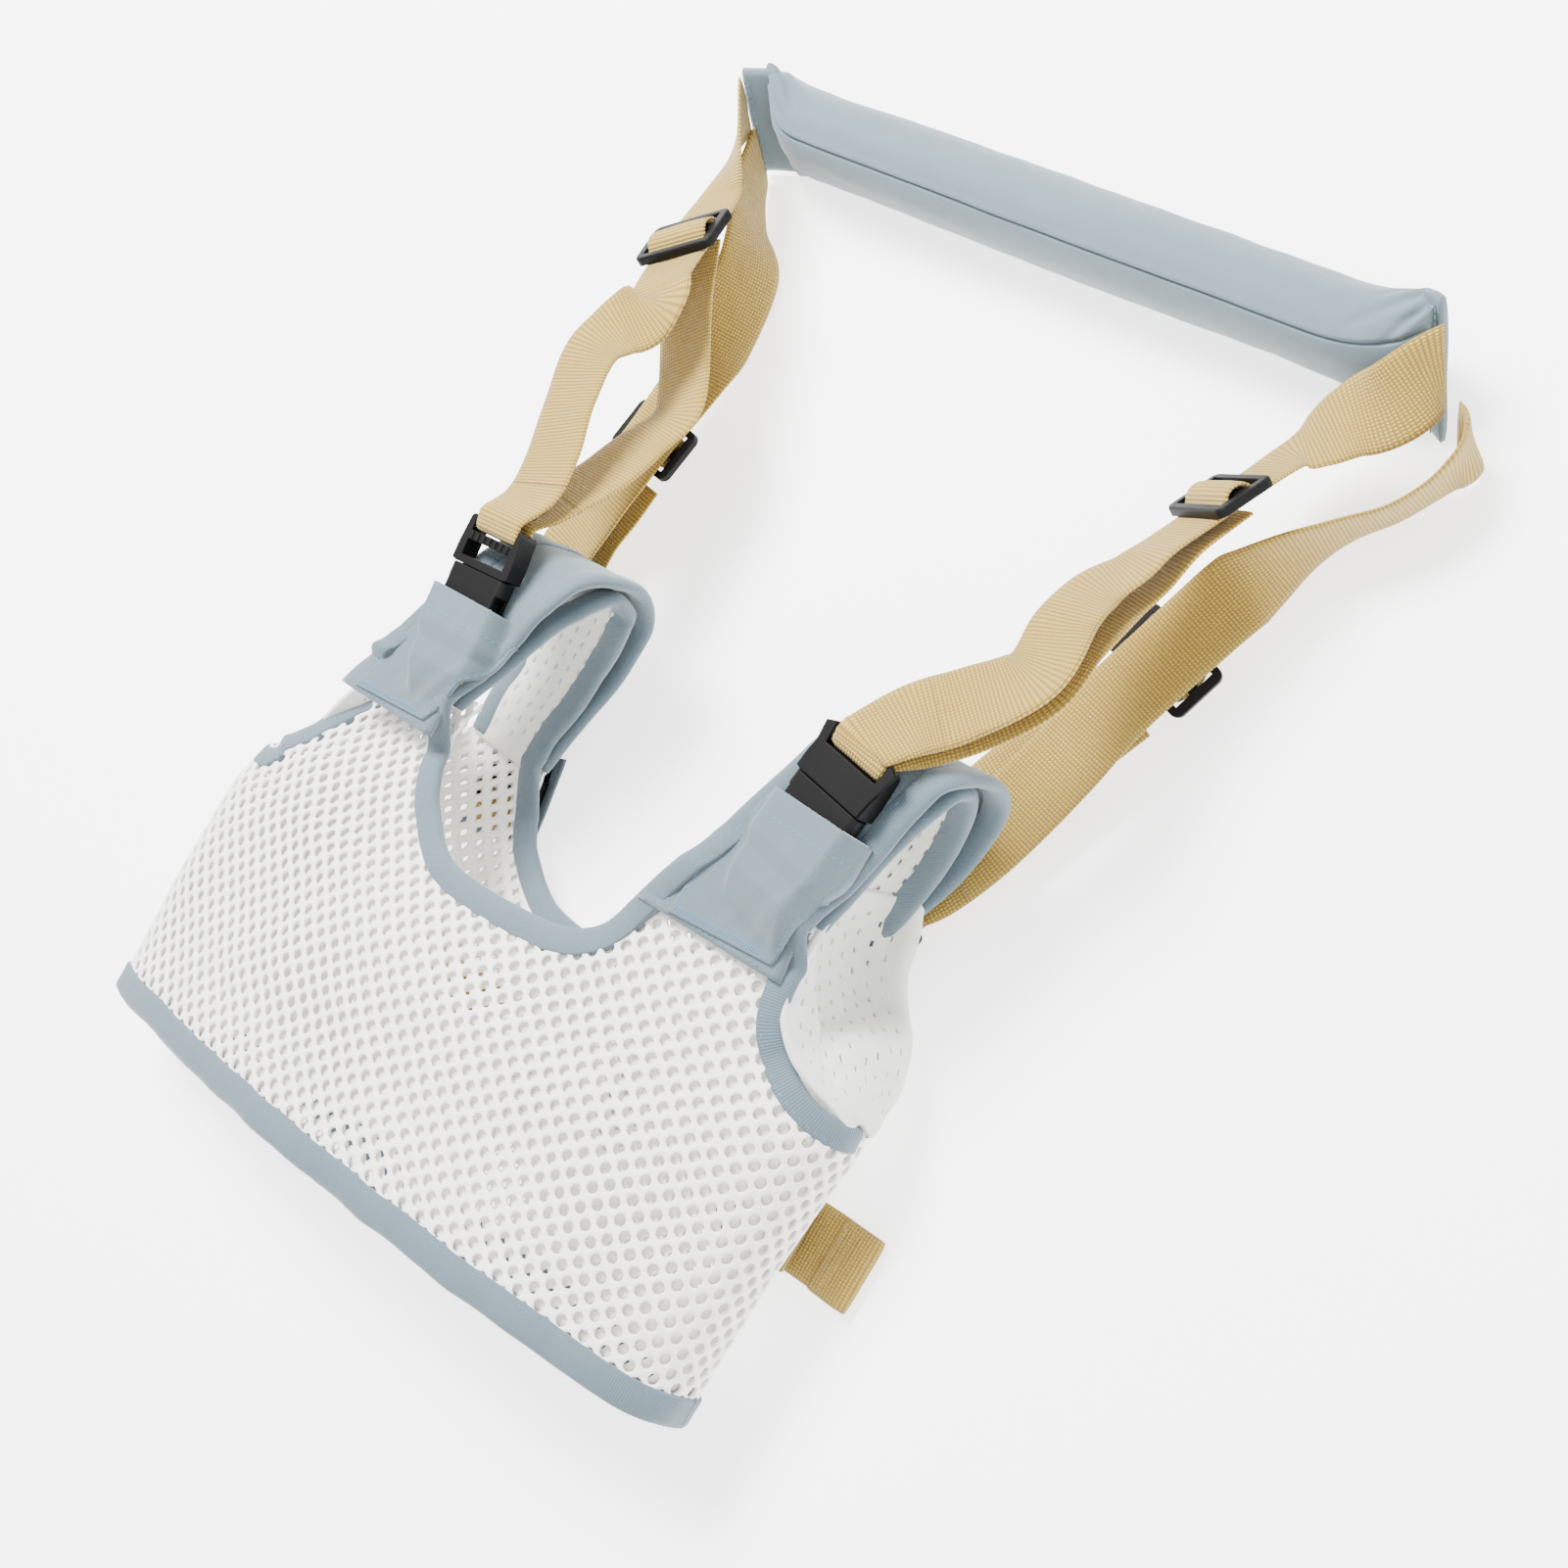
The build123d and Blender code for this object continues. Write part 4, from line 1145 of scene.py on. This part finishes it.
STRAP_B = {
    "front_left": [
        ((-103.5, 127, 43.2), (0.9, 0.38, 0.2)), ((-97, 113, 42), (0.9, 0.36, 0.25)),
        ((-90, 101, 42), (0.9, 0.34, 0.28)), ((-79, 83, 41), (0.9, 0.34, 0.28)),
        ((-74, 71, 42), (0.93, 0.1, 0.3)), ((-76.5, 57, 47), (0.93, -0.2, 0.3)),
        ((-77.5, 40, 56), (0.95, -0.1, 0.2)), ((-80, 27, 64.5), (0.97, 0.05, 0.12)),
        ((-82.5, 19, 70), (0.99, 0.05, 0.1)),
    ],
    "front_right": [
        ((122.8, 117.5, 36.2), (0.81, 0.07, 0.58)), ((118.5, 100.5, 43), (0.81, 0.07, 0.58)),
        ((115, 86, 45.5), (0.87, 0.03, 0.5)), ((111, 73, 49.5), (0.93, 0.15, 0.3)),
        ((109, 58, 54.5), (0.95, 0.1, 0.25)), ((108, 42, 59), (0.96, -0.1, 0.2)),
        ((97, 26, 64), (0.98, -0.13, 0)), ((86, 14, 69.5), (0.98, -0.18, -0.08)),
    ],
    "back_left": [
        ((-98, 50, 14), (0.98, -0.1, 0.1)), ((-100, 38, 13.2), (0.98, -0.1, 0.1)),
        ((-103, 24, 12.4), (0.98, -0.1, 0.1)), ((-104, 8, 10), (0.98, 0.05, 0.05)),
        ((-100, -8, 6), (0.98, 0.12, 0)), ((-95.5, -21, 3.2), (0.98, 0.18, 0)),
    ],
    "back_right": [
        ((112, 56, 11), (0.93, -0.3, -0.1)), ((104, 42, 9), (0.95, -0.3, -0.1)),
        ((93, 28, 7), (0.93, -0.33, -0.05)), ((83, 10, 5.5), (0.93, -0.33, 0)),
        ((78, -8, 4), (0.95, -0.3, 0)), ((77, -22, 3), (0.95, -0.3, 0)),
    ],
}
# y where a strap stops following its plug, and where it starts to follow the handle.
CROSS = {"front_left": (26, 60), "front_right": (22, 60), "back_left": (-13, 46), "back_right": (-15, 46)}
# The webbing round a plug's outer bar, top run first: (along the pull, height). It is narrower there.
PLUG_RUN = [(19.5, 3.0), (17.2, 2.85), (14.9, 2.6), (13.4, 2.0), (12.75, 0.9)]
PLUG_RUN += [(a, -h) for a, h in PLUG_RUN[::-1]]
PLUG_SHARE = 20.6 / WEB_W


def strap_frames(path, skew=16.0):
    """Rows of a strap whose sewn end starts along its own slanted line and turns square within skew."""
    centres = path[:, :3]
    along, wide, _ = frames(centres, path[:, 3:6])
    step = arc_length(centres)
    turn = np.clip(step / skew, 0, 1)[:, None]
    wide = unit_rows(unit_rows(path[:, 3:6]) * (1 - turn) + wide * turn)
    return centres, wide, unit_rows(np.cross(along, wide)), path[:, 6] * WEB_W, step


def cut_band(name, rows, first, last, seed):
    """The part of a strap between two rows."""
    centres, wide, normal, widths, step = (r[first:last] for r in rows)
    points, faces, weave = band_mesh(centres, wide, normal, widths, WEB_T, cols=12, cup=0.15, wave=0.3,
                                     seed=seed, length0=step[0])
    return piece(name, points, faces, MAT["webbing"], weave)


for number, name in enumerate(BUCKLE_AT):
    loop = local_stations(BUCKLE_AT[name], PLUG_RUN, (PLUG_SHARE,))
    fine = curve_through(station_rows(STRAP_A[name] + loop + STRAP_B[name][::-1]), 1.5)
    cut, swing = CROSS[name]
    bottom = int(np.argmin(fine[:, 1]))
    first = next(i for i in range(bottom, 0, -1) if fine[i, 1] > cut)
    second = next(i for i in range(bottom, len(fine)) if fine[i, 1] > cut)
    middle, _, pull, _ = local_axes(BUCKLE_AT[name])
    start = middle + pull * 19
    rows = strap_frames(fine)
    upper = cut_band(f"strap_{name}", rows, 0, first + 1, number + 1)
    low = cut_band(f"strap_loop_{name}", rows, first, second + 1, number + 1)
    back = cut_band(f"strap_return_{name}", rows, second, len(fine), number + 1)
    end = np.array([start[0], cut, start[2]])
    a, b = row([start])[0], row([end])[0]
    c, d = row([[0, cut, 50]])[0], row([[0, swing, 50]])[0]
    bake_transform(low)
    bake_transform(upper)
    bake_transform(back)
    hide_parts(f"lift_strap_{name}")
    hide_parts(f"return_strap_{name}")
    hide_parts(f"plug_webbing_{name}")

# The webbing's hump over each slider's middle bar.
SLIDER_AT = {
    "front_left": ((-103, 126, 47), (0.9, 0.38, 0.2), (-0.35, 0.8, -0.49)),
    "front_right": ((121, 118, 40), (0.81, 0.07, 0.58), (0.25, 0.88, -0.41)),
    "back_left": ((-96, 64, 21), (-0.98, 0.1, -0.1), (0.15, 0.98, -0.05)),
    "back_right": ((118, 72, 17), (-0.9, 0.32, 0.2), (0.33, 0.94, 0)),
}
HUMP_RUN = [(-5.6, 1.9), (-4.6, 3.4), (-3.4, 5.0), (-1.6, 5.9), (0.0, 6.1), (1.6, 5.9), (3.4, 5.0),
            (4.6, 3.4), (5.6, 1.9)]
for number, (name, place) in enumerate(SLIDER_AT.items()):
    hump = band(f"slider_hump_{name}", local_stations(place, HUMP_RUN), WEB_W - 0.4, WEB_T - 0.2,
                spacing=0.7, cols=12, wave=0.3, seed=number + 31)
    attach(hump, f"slider_{name}")
    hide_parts(f"slider_webbing_{name}")

# Sewn loops round the sockets' bars: (along the pull, height) at each socket.
ANCHOR_W = 20
ANCHOR_RUN = [(-36.0, 1.0), (-33.0, 1.1), (-30.0, 2.3), (-26.5, 2.7), (-23.5, 2.5), (-21.6, 1.6),
              (-20.8, 0.0), (-21.6, -1.6), (-23.5, -2.5), (-26.5, -2.7), (-30.0, -2.3), (-33.0, -1.1),
              (-36.0, -1.0)]
for number, (name, place) in enumerate(BUCKLE_AT.items()):
    anchor = band(f"anchor_{name}", local_stations(place, ANCHOR_RUN), ANCHOR_W, 1.2,
                  spacing=0.9, cols=10, wave=0.15, seed=61 + number)
    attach(anchor, "vest")
    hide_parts("anchor_webbing")

# ---- twill pockets that hold the back sockets ------------------------------------------------
LONG_WAY, WIDE_WAY = 38, 40
back_seams = []
for hand in ("left", "right"):
    middle, across, pull, up = local_axes(BUCKLE_AT[f"back_{hand}"])
    grid = []
    for f in np.linspace(0, 1, LONG_WAY):
        for q in np.linspace(-1, 1, WIDE_WAY):
            pucker = noise.noise(Vector((q * 2.2, f * 3, 3 if hand == "left" else 8)))
            sag = 0.35 * pucker + 2.6 * abs(q) ** 7 + 0.9 * (1 - f) ** 3
            spot = middle + across * q * (18 - 0.8 * abs(q) ** 7)
            grid.append(spot + pull * (-39 + 34 * f) + up * (-4.4 + sag))
    grid = np.array(grid).reshape(LONG_WAY, WIDE_WAY, 3)
    face = grid_normals(grid)
    face *= 1 if (face[5, 20] @ up) < 0 else -1
    back_pocket = grid_mesh(f"back_socket_pocket_{hand}", grid, grid - face * 1.1, MAT["twill"],
                            (36, 34))
    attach(back_pocket, "vest")
    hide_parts(f"back_pocket_{hand}")
    back_seams += [(grid[32], face[32]), (grid[1], face[1]), (grid[2:31, 2], face[2:31, 2]),
                   (grid[2:31, 37], face[2:31, 37])]
stitches("back_pocket_stitches", back_seams, "vest", pitch=2.7, length=1.9, radius=0.22)

# ---- waist belt -------------------------------------------------------------------------------------
BELT_Y = -137


def level(*spots):
    """Stations of the belt from (x, z) pairs."""
    return [((x, BELT_Y, z), (0, -1, 0)) for x, z in spots]


loop = level(*((-4 + a, 3.5 + h) for a, h in ANCHOR_RUN[1:]))
belt = band("belt_left", level((-105, 3.5), (-70, 3.9), (-44, 4.4)) + loop + level((-52, 2.4), (-62, 2.1)),
            ANCHOR_W, WEB_T - 0.1, spacing=1.0, cols=12, wave=0.15, seed=41)
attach(belt, "vest")
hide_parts("belt_webbing_left")
belt = band("belt_right", level((40, 7.4), (72, 7.7), (104, 7.4)), WEB_W, WEB_T, cols=12, wave=0.4, seed=42)
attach(belt, "vest")
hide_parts("belt_webbing_right")
TAIL = [((14.0, -137, 6.4), (0, -1, 0), (0.82,)), ((18.5, -137, 4.4), (0, -1, 0), (0.86,)),
        ((24, -137, 1.9), (0, -1, 0), (0.96,)), ((40, -137, 1.2), (0, -1, 0)),
        ((80, -137.5, 1.2), (0.02, -1, 0)), ((108, -137, 1.5), (0, -1, 0.02)),
        ((118, -137, 2.0), (0, -1, 0.03)), ((124.5, -137, 2.2), (0, -1, 0.03)),
        ((127.0, -137, 3.0), (0, -1, 0.03)), ((127.0, -137, 4.2), (0, -1, 0.03)),
        ((124.5, -137, 5.0), (0, -1, 0.03)), ((118.5, -137, 4.6), (0, -1, 0.03)),
        ((113, -137, 3.6), (0, -1, 0.03))]
fine = curve_through(station_rows(TAIL), 0.9)
tail = cut_band("belt_tail_end", strap_frames(fine, 0.1), 0, len(fine), 43)
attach(tail, "belt_plug")
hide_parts("belt_tail", "belt_tail_fold")
tail_rows = []
for x in (115.0, 116.6, 118.2, 119.8, 121.4):
    ys = np.linspace(-148, -126, 30)
    z = np.full(30, 5.25 + 0.05 * (x - 115))
    tail_rows.append((np.column_stack([np.full(30, x), ys, z]), np.tile([0, 0, 1.0], (30, 1))))
stitches("belt_tail_stitches", tail_rows, "belt_plug", pitch=1.5, length=1.2, radius=0.26,
         material="thread_beige")

# ---- padded handle ------------------------------------------------------------------------------------
GRIP_Y, GRIP_Z = 185.0, 21.0
GRIP_LEFT, GRIP_RIGHT = -114, 149.5
GRIP_RADIUS = 16
GRIP_POWER = 0.86
# Width and height of the sleeve along it: (x, width, height).
GRIP = [(-114, 6, 45), (-112, 10, 44.5), (-109, 17, 43), (-105, 23, 40.5), (-98, 27, 38), (-84, 27.5, 36.5),
        (-30, 28, 36), (14, 28.5, 36), (70, 28, 36), (120, 28, 36), (134, 28, 36.5), (141, 26.5, 37.5),
        (145, 22, 39), (148, 14, 40.5), (149.5, 8, 41)]
# Creases pulled in by the sewn ends: (x, turn) to (x, turn), depth, width.
CREASES = [((-111, 1.0), (-99, 1.55), 1.7, 1.9), ((-112, 2.1), (-102, 1.9), 1.1, 1.6),
           ((145, 1.15), (127, 1.8), 1.6, 2.3), ((148, 1.5), (139, 2.15), 1.5, 1.8),
           ((139, 0.9), (131, 1.2), 0.9, 2.0), ((-104, 2.7), (-92, 2.55), 0.8, 1.9)]
SEAM_ANGLE = 2.24
xs = np.concatenate([np.arange(GRIP_LEFT, -92, 0.6), np.arange(-92, 124, 1.5),
                     np.arange(124, GRIP_RIGHT + 0.2, 0.6)])
fine = curve_through(GRIP, 0.5)
turns = np.concatenate([np.linspace(0, 2 * math.pi, 120, endpoint=False),
                        SEAM_ANGLE + np.linspace(-0.11, 0.11, 19)])
turns = np.unique(np.round(turns, 4))


def crease_depth(x, a):
    """How far the sleeve stands out at turn a because of its creases."""
    total = 0.0
    for (x0, a0), (x1, a1), deep, wide in CREASES:
        p, q = np.array([x, a * GRIP_RADIUS]), np.array([x0, a0 * GRIP_RADIUS])
        d = np.array([x1 - x0, (a1 - a0) * GRIP_RADIUS])
        t = float(np.clip((p - q) @ d / (d @ d), 0, 1))
        gap = np.linalg.norm(p - q - t * d)
        furrow = -deep * bell(gap, wide) * (1 - 0.6 * t)
        lip = 0.4 * deep * bell(gap - wide * 1.9, wide) * (1 - t)
        total += furrow + lip
    return total


points, weave = [], []
for x in xs:
    deep = np.interp(x, fine[:, 0], fine[:, 1]) / 2
    tall = np.interp(x, fine[:, 0], fine[:, 2]) / 2
    end = max(0.0, min(x - GRIP_LEFT, GRIP_RIGHT - x))
    lean = 0.42 * bell(end, 9) if x < 0 else 0.46 * bell(end, 17)
    rise = 1.5 if x < 0 else 0.3
    gather = bell(end, 11)
    for a in turns:
        c, s = math.cos(a), math.sin(a)
        y = math.copysign(abs(c) ** GRIP_POWER, c) * deep
        z = math.copysign(abs(s) ** GRIP_POWER, s) * tall
        pleat = 0.35 * gather * math.sin(13 * a + 1.4 * math.sin(3 * a + x * 0.05)) * min(1.0, end / 4)
        pleat += crease_depth(x, a)
        long_fold = 0.55 * noise.noise(Vector((x / 46, c * 1.6, s * 1.6)))
        long_fold += 0.28 * noise.noise(Vector((x / 13, c * 2.4 + 5, s * 2.4)))
        gap = (a - (SEAM_ANGLE % (2 * math.pi)) + math.pi) % (2 * math.pi) - math.pi
        groove = -1.3 * bell(gap * GRIP_RADIUS, 0.55) * min(1.0, end / 8)
        bulge = 0.45 * bell((gap + 0.1) * GRIP_RADIUS, 1.4)
        lift = pleat + long_fold + groove + bulge
        points.append((x, GRIP_Y + y + c * lift + lean * z, GRIP_Z + z + s * lift + rise * gather))
        weave.append((a * GRIP_RADIUS, x))
handle = piece("handle_sleeve", points, tube_faces(len(xs), len(turns)), MAT["handle"], weave)
bm_fix(handle)
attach(handle, "lift")
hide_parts("handle_cover", "handle_core")

# End flaps of the handle: (centre, across, width share) from the sleeve outwards.
for name, spots in (
    ("left", [((-111, 185.5, 23), (0.06, 0.41, 0.91), (0.98,)), ((-117, 183.4, 24), (0.12, 0.4, 0.9)),
              ((-124.4, 180.6, 24.4), (0.1, 0.4, 0.9))]),
    ("right", [((145.5, 185.5, 21.5), (-0.04, 0.5, 0.86), (0.96,)), ((149.5, 184.3, 22), (-0.06, 0.52, 0.85)),
               ((153, 183, 22.5), (-0.08, 0.54, 0.84))]),
):
    width = 46 if name == "left" else 50
    path = curve_through(station_rows(spots), 0.8)
    wide = unit_rows(path[:, 3:6])
    normal = unit_rows(np.cross(unit_rows(np.gradient(path[:, :3], axis=0)), wide))
    points, faces, weave = band_mesh(path[:, :3], wide, normal, path[:, 6] * width, 3.2, cols=24, wave=0.9,
                                     seed=51)
    flap = piece(f"grip_flap_{name}", points, faces, MAT["handle"], weave)
    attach(flap, "lift")
    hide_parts(f"handle_flap_{name}")
    lean = np.array(spots[2][1]) / np.linalg.norm(spots[2][1])
    centre = np.array(spots[-1][0], float)
    side = 1 if name == "right" else -1
    lines = []
    for back in (1.4, 3.4):
        t = np.linspace(-0.46, 0.46, 40)[:, None]
        line = centre - np.array([side * back, 0, 0]) + lean * width * t
        face = np.cross([1.0, 0, 0], lean)
        for way in (1, -1):
            lines.append((line + face * way * 1.75, np.tile(face * way, (40, 1))))
    stitches(f"flap_stitches_{name}", lines, "lift", pitch=2.4, length=1.7, radius=0.24)

# ---- floor and light -------------------------------------------------------------------------
FLOOR_HALF, FLOOR_Z = 4.0, -0.0004


def make_stage():
    mesh = bpy.data.meshes.new("floor")
    corners = ((-1, -1), (1, -1), (1, 1), (-1, 1))
    mesh.from_pydata([(x * FLOOR_HALF, y * FLOOR_HALF, FLOOR_Z) for x, y in corners], [], [(0, 1, 2, 3)])
    n = Nodes("floor")
    n.finish((0.93, 0.93, 0.93, 1), 0.9)
    n.shader.inputs["Emission Color"].default_value = (1, 1, 1, 1)
    n.shader.inputs["Emission Strength"].default_value = 2.2
    mesh.materials.append(n.material)
    floor = bpy.data.objects.new("floor", mesh)
    bpy.context.scene.collection.objects.link(floor)
    world = bpy.data.worlds.new("world")
    world.use_nodes = True
    world.node_tree.nodes["Background"].inputs[0].default_value = (1, 1, 1, 1)
    world.node_tree.nodes["Background"].inputs[1].default_value = 1.5
    bpy.context.scene.world = world
    for name, place, energy, size in (("key", (-0.5, 0.6, 1.35), 95, 0.6),
                                      ("fill", (1.1, -0.5, 1.0), 12, 1.2)):
        data = bpy.data.lights.new(name, "AREA")
        data.energy = energy
        data.size = size
        lamp = bpy.data.objects.new(name, data)
        lamp.location = place
        lamp.rotation_euler = (Vector((0, 0, 0)) - Vector(place)).to_track_quat("-Z", "Y").to_euler()
        bpy.context.scene.collection.objects.link(lamp)


make_stage()

# ---- carried-over CAD pieces -------------------------------------------------------------------
slot_of = {s["node"]: s["material_slot"] for s in frame["record"]["subparts"]}
# Material for each slot whose own name isn't a material here; the others use their own.
DRESS = {"binding": "tape", "foam": "lining"}
for name, node in frame["nodes"].items():
    node.data.materials.clear()
    node.data.materials.append(MAT[DRESS.get(slot_of[name], slot_of[name])])
